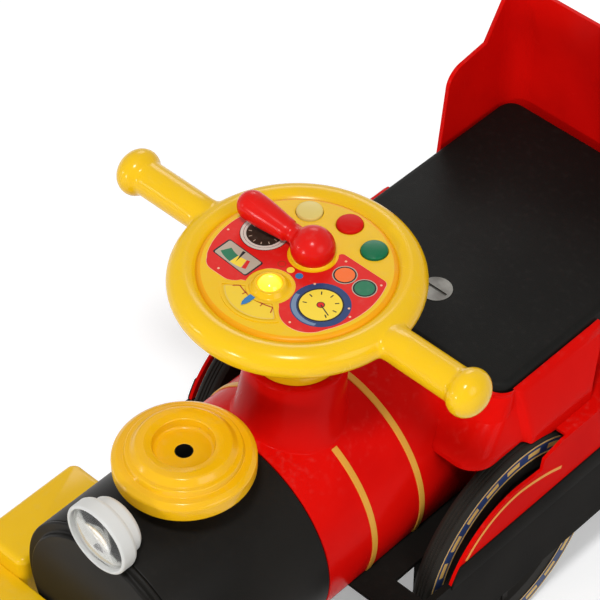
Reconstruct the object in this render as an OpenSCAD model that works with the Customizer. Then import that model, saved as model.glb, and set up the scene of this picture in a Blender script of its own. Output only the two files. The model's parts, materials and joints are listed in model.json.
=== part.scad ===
// Ride-on toy train with a steering wheel, a hinged seat and a motor on the rear axle
// Millimetres. +Z is up, -Y is the front and +X is the train's left side.

/* [Overall] */
// Length over the pilot's tip and the tow eye
overall_len = 720; // [716:1:740]
// Wall of the moulded shells
wall = 3; // [2.6:0.1:3.4]
// Radial clearance of a shaft in its bore
run_clear = 0.06; // [0.03:0.01:0.09]
// Gap between pieces that pass each other
gap = 0.5; // [0.4:0.1:0.8]

/* [Chassis] */
// Height of the deck's top
deck_z = 142; // [140:0.5:144]
// Thickness of the deck
deck_t = 4; // [3:0.5:5]
// Reach of the tow eye behind the deck
tow_reach = 30; // [28:1:34]
// Half width over the skirts and fenders
half_w = 146; // [145:0.5:150]
// Thickness of the skirts
skirt_t = 6; // [4:0.5:6]
// Lower edge of the skirts
skirt_z = 70; // [64:1:80]
// Inset of the deck's nose from the smokebox's foot
nose_inset = 1.9; // [1.5:0.1:6]
// Gap between a rail and the big wheel
rail_gap = 11; // [10:0.5:14]
// Thickness of the inner rails
rail_t = 6; // [5:0.5:8]
// Lower edge of the inner rails
rail_z = 84; // [78:1:88]
// Front end of the inner rails
rail_front = -60; // [-66:1:-40]
// Radius of the tow eye
tow_r = 20; // [16:1:22]
// Radius of the hole in the tow eye
tow_hole_r = 5; // [4:0.5:7]
// Thickness of the tow bar
tow_t = 8; // [6:0.5:10]
// Height of the tow bar's underside
tow_z = 100; // [90:1:110]

/* [Boiler] */
// Outer radius of the boiler and the smokebox
boiler_r = 92.5; // [91:0.5:94]
// Height of the boiler's axis
boiler_z = 176.3; // [174:0.1:178]
// Joint between the boiler and the smokebox
smokebox_y = -151; // [-154:1:-149]
// Front end of the smokebox
smokebox_front = -292; // [-296:1:-290]
// Thickness of the smokebox door
door_t = 8; // [6:0.5:9]
// Inset of the smokebox door from the smokebox's edge
door_inset = 8.5; // [5:0.5:14]
// Width of a gold band
band_w = 7; // [5:0.5:9]
// Thickness of a gold band
band_t = 0.8; // [0.6:0.1:1.2]
// Place of the rear band
rear_band_y = -45; // [-50:1:-20]
// Place of the front band
front_band_y = -100; // [-110:1:-90]
// Top radius of the column boss
boss_top_r = 37.5; // [36:0.5:40]
// Radius of the column boss where it meets the boiler
boss_base_r = 49; // [46:0.5:52]
// Height of the column boss over the boiler
boss_h = 49.2; // [47:0.1:51]

/* [Chimney and headlamp] */
// Place of the chimney
chimney_y = -212; // [-216:1:-208]
// Widest radius of the chimney
chimney_r = 54.75; // [52:0.25:57]
// Height of the chimney's widest edge over the boiler
chimney_rise = 36.2; // [33:0.1:39]
// Height of the chimney's straight side
chimney_side = 19; // [16:0.5:21]
// Radius of the chimney's tier
tier_r = 44.6; // [43:0.1:46]
// Radius of the chimney's top ring
top_ring_r = 39.6; // [37:0.1:41]
// Height of the top ring over the widest edge
top_ring_h = 11; // [9:0.5:13]
// Radius of the recess in the top ring
recess_r = 24; // [20:0.5:28]
// Depth of the recess
recess_depth = 9; // [7:0.5:10]
// Radius of the chimney's hole
chimney_hole_r = 6.9; // [5:0.1:9]
// Radius of the chimney's stem
stem_r = 30; // [28:0.5:34]
// Height of the headlamp's axis over the boiler
headlamp_rise = 14.2; // [12:0.1:16]
// Distance from the smokebox's front to the headlamp's back
headlamp_set = 14; // [12:1:16]
// Depth of the headlamp's housing
headlamp_d = 12; // [10:0.5:14]
// Radius of the headlamp's housing
headlamp_r = 24; // [22:0.5:25]
// Radius of the headlamp's bezel
bezel_r = 30.5; // [29:0.5:31]
// Depth of the headlamp's bezel
bezel_d = 14.5; // [13:0.5:16]
// Height of the headlamp lens's dome
lens_dome = 5; // [3:0.5:8]

/* [Front end] */
// Rear edge of the yellow side boxes
side_box_y = -200; // [-204:1:-196]
// Inset of the side boxes from the skirts' outer faces
side_box_inset = 3; // [0:0.5:6]
// Height of the side boxes' top
side_box_top = 175; // [170:0.5:180]
// Height of the side boxes' underside
side_box_z = 112; // [110:1:118]
// Depth of the front beam
beam_d = 30; // [26:1:34]
// Inset of the pilot from the skirts' outer faces
pilot_inset = 34; // [26:1:46]
// Height of the pilot's lower edge
pilot_z = 28; // [20:1:36]
// Number of pilot bars
pilot_bars = 9; // [7:2:11]

/* [Seat] */
// Height of the seat's top
seat_top = 270; // [268:0.5:273]
// Inset of the seat from the seat box's sides
seat_inset = 2.5; // [2:0.5:4]
// Inset of the seat from the seat box's front
seat_front_inset = 2; // [1:0.5:4]
// Inset of the seat from the seat box's rear
seat_rear_inset = 7; // [6:0.5:10]
// Corner radius of the seat
seat_corner = 15; // [12:0.5:18]
// Roundness of the seat's shoulders
seat_shoulder = 6; // [4:0.5:7]
// Thickness of the seat's top plate
seat_t = 4; // [3.5:0.1:4.5]
// Height of the rim that the seat lies on
rim_z = 254; // [252:0.5:255]
// Inset of the seat box from the fenders' outer faces
box_inset = 33; // [32:0.5:33.5]
// Front of the seat box
box_front = 20; // [19:0.5:20.5]
// Depth of the shelf behind the seat box
shelf_d = 30; // [28:0.5:31]
// Height of the shelf beside the seat box
shelf_z = 208; // [207:0.5:210]
// Lower edge of the box's side over the wheel
wheel_open_z = 192; // [188:1:196]
// Place of the coin lock
lock_y = 72; // [68:0.5:76]
// Radius of the coin lock's head
lock_r = 13.5; // [12:0.5:15]
// Distance from the seat box's rear to the seat's hinge
hinge_inset = 15; // [14:0.5:16]

/* [Seat back] */
// Thickness of the seat back's wall
back_t = 4; // [3:0.5:5]
// Length of the side wings at their foot
wing_len = 101; // [96:1:110]
// Height of the side wings
wing_top = 342; // [336:1:348]
// Height of the backrest
back_top = 388; // [376:1:396]

/* [Fenders] */
// Radius of the fender's front
fender_r = 85; // [80:1:88]
// Middle of the fender's front arc before the wheel's axle
fender_lead = 12; // [8:1:16]
// Drop of the fender's top below the shelf
fender_drop = 14; // [12:0.5:16]
// Reach of the wide deck in front of the big wheel's axle
deck_reach = 142.8; // [138:0.2:146]
// Inset of the wheel hood's front part from the wheel's face
hood_inset = 9; // [8:0.5:10]
// Step out to the hood's rear part
hood_step = 7; // [5:0.5:7.5]
// Cut of the hood's front corner
hood_round = 22; // [18:1:24]
// Reach of the hood in front of the wheel's axle
hood_lead = 42; // [36:1:46]
// Reach of the hood behind the wheel's axle
hood_trail = 89; // [80:1:92]
// Thickness of the fender
fender_t = 3; // [2.6:0.1:4]

/* [Wheels] */
// Radius of the big middle wheels
big_r = 106.5; // [105.5:0.1:107]
// Width of the big middle wheels
big_w = 18; // [15:0.5:19]
// Gap between the big middle wheels and the skirts
wheel_gap = 5; // [4.5:0.5:6]
// Place of the middle axle
mid_y = 22; // [20:0.5:24]
// Radius of the middle axle
mid_axle_r = 5; // [4:0.25:6]
// Radius of the rear wheels
rear_r = 60; // [56:0.5:62]
// Width of the rear wheels
rear_w = 22; // [18:0.5:24]
// Place of the rear axle
rear_y = 235; // [233:0.5:238]
// Radius of the rear axle
rear_axle_r = 5; // [4:0.25:5.5]
// Radius of the front wheels
front_r = 52; // [48:0.5:54]
// Width of the front wheels
front_w = 24; // [20:0.5:25]
// Inner face of the front wheels
front_face_x = 74; // [72:0.5:76]
// Radius of the front axle
front_axle_r = 4; // [3.5:0.25:5]

/* [Steering] */
// Place of the steering axis
steer_y = -90; // [-92:0.5:-88]
// Radius to the middle of the ring's tube
ring_r = 84.3; // [83.8:0.1:86]
// Radius of the ring's tube
tube_r = 13.2; // [12:0.1:14]
// Height of the ring's middle over the boss
ring_rise = 81; // [79:0.5:83]
// Radius of a side handle
handle_r = 14.5; // [13:0.1:15]
// Distance from the ring's tube to the middle of a handle's ball
handle_len = 83.7; // [80:0.1:88]
// Radius of a handle's ball across the handle
ball_r = 19.5; // [18:0.1:21]
// Half length of a handle's ball along the handle
ball_half = 15; // [13:0.5:17]
// Radius of the wheel's collar
collar_r = 35; // [33:0.5:36]
// Radius of the steering column
column_r = 8; // [7:0.25:9]
// Outer radius of the column bushes
bush_r = 12; // [11:0.25:14]
// Place of the bogie's pivot
bogie_y = -195; // [-200:0.5:-192]
// Radius of the bogie's pivot pin
kingpin_r = 6; // [5:0.25:7]
// Length of the steering arms
arm_len = 40; // [36:0.5:42]
// Radius of the drag link's pins
link_pin_r = 3; // [2.5:0.25:4]
// Clearance of the drag link's open end
link_clear = 0.8; // [0.5:0.1:1.2]

/* [Dash] */
// Inset of the dash panel from the middle of the ring's tube
dash_inset = 8.7; // [8.5:0.1:10]
// Height of the dash panel's top over the ring's middle
dash_rise = 12; // [11.5:0.1:12.5]
// Thickness of the dash panel
dash_t = 8; // [6:0.5:9]
// Thickness of the printed label
label_t = 0.4; // [0.3:0.1:0.6]
// Inset of the label from the panel's edge
label_inset = 7.6; // [5.5:0.1:9.5]
// Radius of a push button
button_r = 10.3; // [9:0.1:10.8]
// Inset of the buttons' middles from the panel's edge
button_inset = 16.1; // [15:0.1:17.5]
// Height of a button over the panel
button_h = 3.5; // [3.2:0.1:4]
// Travel of a button
button_travel = 3; // [2:0.1:3]
// Distance from the axis to the lever's pivot
lever_y = 17; // [16:0.5:18]
// Radius of the lever's ball
lever_ball_r = 17; // [16:0.25:17.5]
// Distance from the pivot to the middle of the lever's end
lever_len = 57.6; // [54:0.2:58]
// Radius of the lever's end
lever_end_r = 11.9; // [10:0.1:12]
// Radius of the lever's neck
lever_neck_r = 7.2; // [6:0.1:8]
// Rise of the lever's handle in degrees
lever_rise = 10; // [9:0.5:14]
// Radius of the lamp's lens
lamp_r = 9.5; // [8:0.1:10.5]
// Distance from the axis to the lamp
lamp_y = -29; // [-31:0.5:-27]
// Radius of the mound round the lamp
mound_r = 17.5; // [16:0.5:18]

/* [Drive] */
// Module of the axle gear pair
drive_mod = 1.25; // [1.2:0.01:1.3]
// Module of the motor gear pair
motor_mod = 1; // [0.95:0.01:1.05]
// Teeth of the axle gear
axle_teeth = 44; // [42:1:46]
// Teeth of the small compound gear
small_teeth = 12; // [12:1:13]
// Teeth of the large compound gear
large_teeth = 40; // [38:1:42]
// Teeth of the motor pinion
pinion_teeth = 10; // [10:1:12]
// Play between the teeth
tooth_slack = 0.35; // [0.3:0.05:0.5]
// Radius of the compound gear's pin
gear_pin_r = 3; // [2:0.25:3.5]
// Radius of the motor
motor_r = 14; // [12:0.5:15]
// Length of the motor
motor_len = 40; // [34:1:46]
// Distance from the rail to the gearbox's inner face
gearbox_inset = 56; // [52:0.5:60]
// Width of the gearbox between its plates
gearbox_w = 25; // [24:0.5:28]

/* [Power and sound] */
// Size of the battery, across, along and up
battery_size = [70, 100, 96]; // [40:1:110]
// Front of the battery
battery_y = 96; // [94:1:110]
// Radius of the speaker
speaker_r = 28; // [20:0.5:32]
// Place of the speaker
speaker_y = -30; // [-36:1:-26]

/* [Hidden] */
$fn = 64;
hull_fn = 32;

// Colours
red = "#c8120c";
yellow = "#f0b81e";
black = "#201e1c";
gold = "#d8a030";
steel = "#b8bcc0";
white_nylon = "#e8e6dc";

// Shared places
fixed_gap = 0.3;
front_end = -overall_len / 2;
rear_end = overall_len / 2;
deck_rear = rear_end - tow_reach;
deck_low = deck_z - deck_t;
boiler_top = boiler_z + boiler_r;
boss_top_z = boiler_top + boss_h;
chimney_z = boiler_top + chimney_rise;
headlamp_z = boiler_top + headlamp_rise;
headlamp_back = smokebox_front + headlamp_set;
door_r = boiler_r - door_inset;
nose_x = sqrt(pow(boiler_r, 2) - pow(boiler_z - deck_z, 2)) - nose_inset;
ring_z = boss_top_z + ring_rise;
ball_x = ring_r + handle_len;
dash_z = ring_z + dash_rise;
dash_r = ring_r - dash_inset;
label_r = dash_r - label_inset;
button_ring = dash_r - button_inset;
box_x = half_w - box_inset;
box_rear = deck_rear - shelf_d;
seat_x = box_x - seat_inset;
seat_front = box_front + seat_front_inset;
seat_rear = box_rear - seat_rear_inset;
hinge_y = box_rear - hinge_inset;
wing_front = box_rear - wing_len;
side_box_x = half_w - side_box_inset;
pilot_x = half_w - pilot_inset;
seat_low = rim_z + gap;
plate_low = seat_top - seat_t;
skirt_in = half_w - skirt_t;
fender_front = mid_y - deck_reach;
wheel_room = 2.5;
big_face_x = skirt_in - wheel_gap;
big_in_x = big_face_x - big_w;
rail_x = big_in_x - rail_gap;
shelf_low = shelf_z - wall;
shelf_y = mid_y + sqrt(pow(big_r + wheel_room, 2) - pow(shelf_low - big_r, 2));
slot_reach = big_r + 9;
well_x = box_x - wall - gap;
rear_in_x = rail_x + 6;
rear_out_x = rear_in_x + rear_w;
hanger_half = 18;
hanger_low = rear_r - 17;
rear_bush_r = rear_axle_r + 3;
collar_low = boss_top_z + gap;
bush_len = 18;
dash_low = dash_z - dash_t;
button_angles = [124.5, 92, 59.5];
lever_angle = 186;
lever_stem_r = 5;
board_z = dash_low - 17;
board_t = 2;

// Steering gear under the deck
bogie_top = deck_low - 10;
bogie_t = 8;
bogie_low = bogie_top - bogie_t;
arm_top = bogie_low - 1;
arm_t = 6;
arm_low = arm_top - arm_t;
link_t = 6;
link_top = arm_low - gap;
link_low = link_top - link_t;
link_eye_r = link_pin_r + 4.5;
leg_x = front_face_x - 8;
leg_t = 6;

// Drive train
drive_span = drive_mod * (axle_teeth + small_teeth) / 2;
motor_span = motor_mod * (large_teeth + pinion_teeth) / 2;
drive_angle = 140;
motor_angle = 180;
gear_pos = [rear_y + drive_span * cos(drive_angle), rear_r + drive_span * sin(drive_angle)];
motor_pos = gear_pos + motor_span * [cos(motor_angle), sin(motor_angle)];
plate_t = 3;
gearbox_x = rail_x - rail_t - gearbox_inset;
gears_x = gearbox_x + plate_t;
cover_x = gears_x + gearbox_w;
case_front = motor_pos[0] - motor_r - 8;
case_rear = rear_y + drive_mod * axle_teeth / 2 + 8;
case_low = rear_r - drive_mod * axle_teeth / 2 - 6;
motor_face_w = 8;
drive_face_w = 8;

// Screws that hold the two red mouldings on the deck
screw_r = 2;
screw_head_r = 4;
screw_head_h = 2.5;
screw_len = 9;
flange_w = 14;
rear_screw_x = rail_x - rail_t - flange_w / 2 - 1;
foot_x = sqrt(pow(boiler_r - wall, 2) - pow(boiler_z - deck_z - wall, 2));
front_screw_x = min(foot_x - flange_w / 2 - 1, rear_screw_x);
screw_places = [
    [front_screw_x, smokebox_y + 16],
    [front_screw_x, box_front - 16],
    [rear_screw_x, mid_y + 140],
    [rear_screw_x, box_rear - 20]
];

module block(x0, x1, y0, y1, z0, z1) {
    translate([x0, y0, z0]) cube([x1 - x0, y1 - y0, z1 - z0]);
}

module zcyl(r, z0, z1, x = 0, y = 0) {
    translate([x, y, z0]) cylinder(r = r, h = z1 - z0);
}

module xcyl(r, x0, x1, y, z) {
    translate([x0, y, z]) rotate([0, 90, 0]) cylinder(r = r, h = x1 - x0);
}

module ycyl(r, y0, y1, x, z) {
    translate([x, y0, z]) rotate([-90, 0, 0]) cylinder(r = r, h = y1 - y0);
}

module y_prism(points, y0, y1) {
    translate([0, y1, 0]) rotate([90, 0, 0]) linear_extrude(y1 - y0) polygon(points);
}

module x_prism(points, x0, x1) {
    translate([x0, 0, 0]) rotate([90, 0, 90]) linear_extrude(x1 - x0) polygon(points);
}

module both() {
    children();
    mirror([1, 0, 0]) children();
}

// A plate in the YZ plane, extruded from x0 to x1
module side_plate(x0, x1) {
    translate([x0, 0, 0]) rotate([90, 0, 90]) linear_extrude(x1 - x0) children();
}

// Points along an arc, from angle a0 to angle a1
function arc(centre, r, a0, a1, steps = 10) =
    [for (k = [0:steps]) let (a = a0 + (a1 - a0) * k / steps) centre + r * [cos(a), sin(a)]];

// Plan rectangle whose front corners alone are round
module front_round_rect(x, y0, y1, r) {
    translate([-x, y0 + r]) square([2 * x, y1 - y0 - r]);
    translate([-x + r, y0]) square([2 * (x - r), r]);
    for (sx = [-1, 1]) translate([sx * (x - r), y0 + r]) circle(r);
}

// Plan rectangle with one radius at the front corners and another at the rear ones
module box_plan(x, y0, y1, front_r, back_r) {
    intersection() {
        front_round_rect(x, y0, y1, front_r);
        mirror([0, 1, 0]) front_round_rect(x, -y1, -y0, back_r);
    }
}

// Slab with round corners and a round top edge
module soft_slab(x0, x1, y0, y1, z0, z1, corner, edge) {
    hull() {
        for (x = [x0 + corner, x1 - corner], y = [y0 + corner, y1 - corner], a = [0, 30, 60, 90]) {
            top = z1 - edge * (1 - sin(a));
            zcyl(corner - edge * (1 - cos(a)), z0, top, x, y, $fn = hull_fn);
        }
    }
}

// Involute gear teeth
function involute(a) = tan(a) * 180 / PI - a;
pressure = 20;
flank_steps = 5;

function half_tooth(m, teeth, r) =
    let (pitch = m * teeth / 2, base = pitch * cos(pressure), q = max(r, base))
    90 / teeth - tooth_slack / pitch * 90 / PI + involute(pressure) - involute(acos(base / q));

function gear_outline(m, teeth) =
    let (root = m * (teeth / 2 - 1.2), tip = m * (teeth / 2 + 0.85))
    [for (k = [0:teeth - 1], side = [-1, 1], i = [0:flank_steps])
        let (t = side < 0 ? i : flank_steps - i,
             r = root + (tip - root) * t / flank_steps,
             a = 360 * k / teeth + side * half_tooth(m, teeth, r))
        [r * cos(a), r * sin(a)]];

module gear(m, teeth, x0, x1, turn) {
    side_plate(x0, x1) rotate(turn) polygon(gear_outline(m, teeth));
}

// Underbody
module chassis() {
    color(black) difference() {
        union() {
            block(-half_w, half_w, fender_front, deck_rear, deck_low, deck_z);
            block(-nose_x, nose_x, smokebox_front, fender_front, deck_low, deck_z);
            block(-half_w, half_w, deck_rear - wall, deck_rear, skirt_z, deck_z);
            both() chassis_side();
            zcyl(kingpin_r + 10, bogie_top + gap, deck_z, 0, bogie_y);
            zcyl(bush_r + 4, deck_z - bush_len, deck_z, 0, steer_y);
        }
        both() wheel_slot();
        xcyl(mid_axle_r + run_clear, -half_w + wall, half_w - wall, mid_y, big_r);
        zcyl(kingpin_r + run_clear, bogie_top, deck_z + 1, 0, bogie_y);
        zcyl(bush_r + run_clear, deck_z - bush_len - 1, deck_z + 1, 0, steer_y);
        screw_bores(deck_low - 1, deck_z + 1);
        speaker_slots();
    }
}

module chassis_side() {
    block(skirt_in, half_w, fender_front, deck_rear, skirt_z, deck_z);
    block(well_x - wall, well_x, box_front + box_corner + gap, mid_y + slot_reach, deck_low, shelf_low - gap);
}

// Rails under the deck that carry the two axles
module chassis_rails() {
    color(black) both() difference() {
        side_plate(rail_x - rail_t, rail_x) polygon([
            [rail_front, deck_low], [rail_front, rail_z],
            [rear_y - 2 * hanger_half, rail_z], [rear_y - hanger_half, hanger_low],
            [rear_y + hanger_half, hanger_low], [rear_y + 2 * hanger_half, rail_z],
            [deck_rear - wall, rail_z], [deck_rear - wall, deck_low]
        ]);
        xcyl(mid_axle_r + run_clear, rail_x - rail_t - 1, rail_x + 1, mid_y, big_r);
        xcyl(rear_bush_r + run_clear, rail_x - rail_t - 1, rail_x + 1, rear_y, rear_r);
    }
}

// Tow eye on a plate that is fixed to the deck's rear skirt
module tow_bar() {
    plate_x = tow_r + tow_t;
    plate_y = deck_rear + fixed_gap;
    color(black) difference() {
        union() {
            block(-plate_x, plate_x, plate_y, plate_y + wall, tow_z - tow_t, tow_z + 2 * tow_t);
            block(-tow_r, tow_r, plate_y, rear_end - tow_r, tow_z, tow_z + tow_t);
            zcyl(tow_r, tow_z, tow_z + tow_t, 0, rear_end - tow_r);
        }
        zcyl(tow_hole_r, tow_z - 1, tow_z + tow_t + 1, 0, rear_end - tow_r);
        block(-plate_x, plate_x, rear_end - 3 * tow_r, plate_y, tow_z - 1, tow_z + tow_t + 1);
    }
}

module wheel_slot() {
    block(well_x, skirt_in, mid_y - slot_reach, mid_y + slot_reach, deck_low - 1, deck_z + 1);
}

module screw_bores(z0, z1) {
    for (p = screw_places) both() zcyl(screw_r + run_clear, z0, z1, p[0], p[1]);
}

module speaker_slots() {
    for (x = [-16:8:16]) block(x - 1.5, x + 1.5, speaker_y - 16, speaker_y + 16, deck_low - 1, deck_z + 1);
}

// Half tube standing on the deck
module boiler_tube(r, y0, y1) {
    intersection() {
        ycyl(r, y0, y1, 0, boiler_z);
        block(-r - 1, r + 1, y0 - 1, y1 + 1, deck_z, boiler_z + r + 1);
    }
}

module boss_cone(grow = 0) {
    translate([0, steer_y, boiler_z])
        cylinder(
            r1 = boss_base_r + grow + (boss_base_r - boss_top_r) * boiler_r / (boss_top_z - boiler_z - boiler_r),
            r2 = boss_top_r + grow,
            h = boss_top_z - boiler_z
        );
}

module body_front() {
    color(red) difference() {
        union() {
            difference() {
                union() {
                    boiler_tube(boiler_r, smokebox_y, box_front);
                    intersection() {
                        boss_cone();
                        block(-boiler_r, boiler_r, smokebox_y, box_front, boiler_z + boiler_r / 2, boss_top_z);
                    }
                }
                boiler_tube(boiler_r - wall, smokebox_y - 1, box_front - wall);
                zcyl(boss_top_r - 2 * wall, boiler_z, boss_top_z - bush_len, 0, steer_y);
            }
            both() intersection() {
                boiler_tube(boiler_r - wall / 2, smokebox_y, box_front - wall / 2);
                block(front_screw_x - flange_w / 2, boiler_r, smokebox_y, box_front, deck_z, deck_z + wall);
            }
        }
        zcyl(bush_r + run_clear, boss_top_z - bush_len - 1, boss_top_z + 1, 0, steer_y);
        screw_bores(deck_z - 1, deck_z + wall + 1);
    }
}

module boiler_bands() {
    color(gold) difference() {
        for (y = [front_band_y, rear_band_y]) boiler_tube(boiler_r + band_t, y - band_w / 2, y + band_w / 2);
        ycyl(boiler_r + run_clear, smokebox_y, box_front, 0, boiler_z);
        boss_cone(2 * gap);
    }
}

module smokebox() {
    color(black) difference() {
        boiler_tube(boiler_r, smokebox_front, smokebox_y);
        boiler_tube(boiler_r - wall, smokebox_front - 1, smokebox_y + 1);
    }
}

module smokebox_door() {
    color(black) {
        boiler_tube(boiler_r, smokebox_front - wall, smokebox_front);
        boiler_tube(door_r, smokebox_front - door_t, smokebox_front - wall);
    }
}

module chimney() {
    side_low = chimney_z - chimney_side;
    top = chimney_z + top_ring_h;
    color(yellow) difference() {
        translate([0, chimney_y, 0]) rotate_extrude() polygon([
            [0, boiler_z + boiler_r / 2], [stem_r + 4, boiler_z + boiler_r / 2], [stem_r + 4, boiler_z + boiler_r],
            [stem_r, side_low - 6], [chimney_r - 4, side_low], [chimney_r, side_low + 4],
            [chimney_r, chimney_z - 3], [chimney_r - 3, chimney_z], [tier_r + 1, chimney_z],
            [tier_r, chimney_z + top_ring_h / 2], [top_ring_r + 1, chimney_z + top_ring_h / 2],
            [top_ring_r, top], [0, top]
        ]);
        zcyl(recess_r, top - recess_depth, top + 1, 0, chimney_y);
        zcyl(chimney_hole_r, boiler_z, top, 0, chimney_y);
        zcyl(stem_r - wall, boiler_z, chimney_z - wall, 0, chimney_y);
        ycyl(boiler_r, smokebox_front, smokebox_y, 0, boiler_z);
    }
}

module headlamp_housing() {
    bezel_back = headlamp_back - headlamp_d;
    color(steel) difference() {
        union() {
            ycyl(headlamp_r, bezel_back, headlamp_back, 0, headlamp_z);
            ycyl(bezel_r, bezel_back - bezel_d, bezel_back, 0, headlamp_z);
            block(-14, 14, bezel_back, headlamp_back, boiler_z + boiler_r / 2, headlamp_z);
        }
        ycyl(headlamp_r - wall, bezel_back - bezel_d - 1, headlamp_back - wall, 0, headlamp_z);
        ycyl(bezel_r - wall, bezel_back - bezel_d - 1, bezel_back - bezel_d + 4, 0, headlamp_z);
        ycyl(boiler_r, smokebox_front - wall, smokebox_y, 0, boiler_z);
        ycyl(door_r, smokebox_front - door_t, smokebox_front, 0, boiler_z);
    }
}

module headlamp_lens() {
    seat_y = headlamp_back - headlamp_d - bezel_d + 4;
    rim_r = bezel_r - wall - run_clear;
    dome = [for (k = [8:-1:0]) [rim_r * sin(90 * k / 8), 1.5 + lens_dome * cos(90 * k / 8)]];
    color("#f4f4ee") translate([0, seat_y, headlamp_z]) rotate([90, 0, 0]) rotate_extrude()
        polygon(concat([[0, 0], [rim_r, 0]], dome));
}

// Front end
beam_rear = smokebox_front - door_t - 2;
beam_front = beam_rear - beam_d;
beam_top = deck_z + 12;
side_box_in = boiler_r + 1;
pilot_bar_w = 8;

module front_beam() {
    color(yellow) {
        block(-side_box_x, side_box_x, beam_front, beam_rear, side_box_z, beam_top);
        block(-nose_x, nose_x, beam_rear, smokebox_front, deck_low, deck_z);
        block(-pilot_x, pilot_x, front_end, front_end + 10, pilot_z, pilot_z + 10);
        for (k = [0:pilot_bars - 1]) pilot_bar(pilot_x * (2 * k / (pilot_bars - 1) - 1));
    }
}

module pilot_bar(x) {
    left = min(max(x, -pilot_x + pilot_bar_w / 2), pilot_x - pilot_bar_w / 2) - pilot_bar_w / 2;
    side_plate(left, left + pilot_bar_w) polygon([
        [beam_front + 12, side_box_z + 10], [beam_front, side_box_z + 22],
        [front_end, pilot_z + 10], [front_end, pilot_z], [front_end + 10, pilot_z], [beam_front + 12, side_box_z]
    ]);
}

module side_box() {
    color(yellow) difference() {
        soft_slab(side_box_in, side_box_x, beam_rear, side_box_y, side_box_z, side_box_top, 8, 5);
        block(
            side_box_in + wall, side_box_x - wall, beam_rear + 2 * wall, side_box_y - wall,
            side_box_z - 1, side_box_top - 2 * wall
        );
    }
}

module side_box_left() side_box();

module side_box_right() mirror([1, 0, 0]) side_box();

// Seat box with shelves and fenders
box_corner = seat_corner;
rim_w = 9;
ear_x = 62;
ear_w = 6;
hinge_pin_r = 2.5;
hinge_drop = 4;
hinge_z = plate_low - hinge_drop;
ear_r = hinge_drop - gap;
knuckle_x = 40;
knuckle_w = 20;
ear_foot = hinge_z - 26;
socket_pos = [60, 175];
socket_r = 7;

module body_rear() {
    color(red) difference() {
        union() {
            seat_box_walls();
            both() rear_side();
            both() wheel_hood();
            block(-half_w, half_w, box_rear - wall, deck_rear, shelf_low, shelf_z);
            block(-half_w, half_w, deck_rear - wall, deck_rear, deck_z, shelf_z);
            both() hinge_ear();
            both() block(
                rear_screw_x - flange_w / 2, box_x - wall / 2,
                mid_y + slot_reach + gap, box_rear - wall / 2, deck_z, deck_z + wall
            );
        }
        screw_bores(deck_z - 1, deck_z + wall + 1);
        xcyl(hinge_pin_r + run_clear, -box_x + 2 * wall, box_x - 2 * wall, hinge_y, hinge_z);
        ycyl(socket_r + run_clear, deck_rear - wall - 1, deck_rear + 1, socket_pos[0], socket_pos[1]);
    }
}

module seat_box_walls() {
    difference() {
        translate([0, 0, deck_z]) linear_extrude(rim_z - deck_z)
            box_plan(box_x, box_front, box_rear, box_corner, back_corner - back_t);
        translate([0, 0, deck_z - 1]) linear_extrude(rim_z - wall - deck_z + 1)
            box_plan(
                box_x - wall, box_front + wall, box_rear - wall,
                box_corner - wall, back_corner - back_t - wall
            );
        block(-box_x + rim_w, box_x - rim_w, box_front + rim_w, box_rear - wall, deck_z, rim_z + 1);
        both() block(well_x - wall - gap, box_x + 1, box_front - 1, shelf_y, deck_z - 1, wheel_open_z);
    }
}

module rear_side() {
    block(box_x - wall, half_w, shelf_y, deck_rear, shelf_low, shelf_z);
    block(half_w - wall, half_w, shelf_y, deck_rear, deck_z, shelf_z);
    fender();
}

// Side panel outside the big wheel, with a round front and a step up to the shelf
module fender() {
    top = shelf_z - fender_drop;
    front_y = mid_y - fender_lead;
    step_y = mid_y + 16;
    intersection() {
        xcyl(fender_r, half_w - fender_t, half_w, front_y, top - fender_r);
        block(half_w - fender_t - 1, half_w + 1, front_y - fender_r - 1, front_y, deck_z, top + 1);
    }
    x_prism([
        [front_y, deck_z], [front_y, top], [step_y, top - 2], [step_y + 2, shelf_z - 5], [step_y + 24, shelf_z],
        [shelf_y + wall, shelf_z], [shelf_y + wall, deck_z]
    ], half_w - fender_t, half_w);
}

// Cover over the big wheel: a front part that slopes to the boiler, and a part behind it, stepped out
module wheel_hood() {
    room = wheel_room + fixed_gap;
    low = 2 * big_r + room + fixed_gap;
    foot = low + 4;
    top = rim_z - 3;
    front_x = big_face_x - hood_inset;
    front_y = mid_y - hood_lead;
    rear_x = front_x + hood_step;
    inner_x = boiler_r / 2;
    step_y = box_front + box_corner + 4;
    foot_cut = (front_x - front_y - hood_round) / sqrt(2);
    top_cut = (box_x - box_front - box_corner) / sqrt(2);
    difference() {
        union() {
            intersection() {
                y_prism([
                    [inner_x, low], [front_x, low], [front_x, foot], [box_x + 1, top], [inner_x, top]
                ], front_y, step_y);
                x_prism([
                    [front_y, low - 1], [front_y, foot], [box_front, top + 1], [step_y + 1, top + 1], [step_y + 1, low - 1]
                ], inner_x - 1, front_x + 1);
                rotate([0, 0, -45]) y_prism([
                    [0, low - 1], [foot_cut, low - 1], [foot_cut, foot], [top_cut, top + 1], [0, top + 1]
                ], -half_w, 2 * half_w);
            }
            y_prism([
                [box_x - 1, shelf_low], [rear_x, shelf_low], [rear_x, foot], [box_x + 1, top], [box_x - 1, top]
            ], step_y, mid_y + hood_trail);
        }
        translate([0, 0, low - 20]) linear_extrude(rim_z)
            box_plan(box_x - 1, box_front + 1, box_rear - 1, box_corner - 1, back_corner - back_t - 1);
        xcyl(big_r + room, box_x - wall - 2, half_w, mid_y, big_r);
        ycyl(boiler_r + 1.5, front_y - 1, box_front + 0.5, 0, boiler_z);
    }
}

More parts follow.
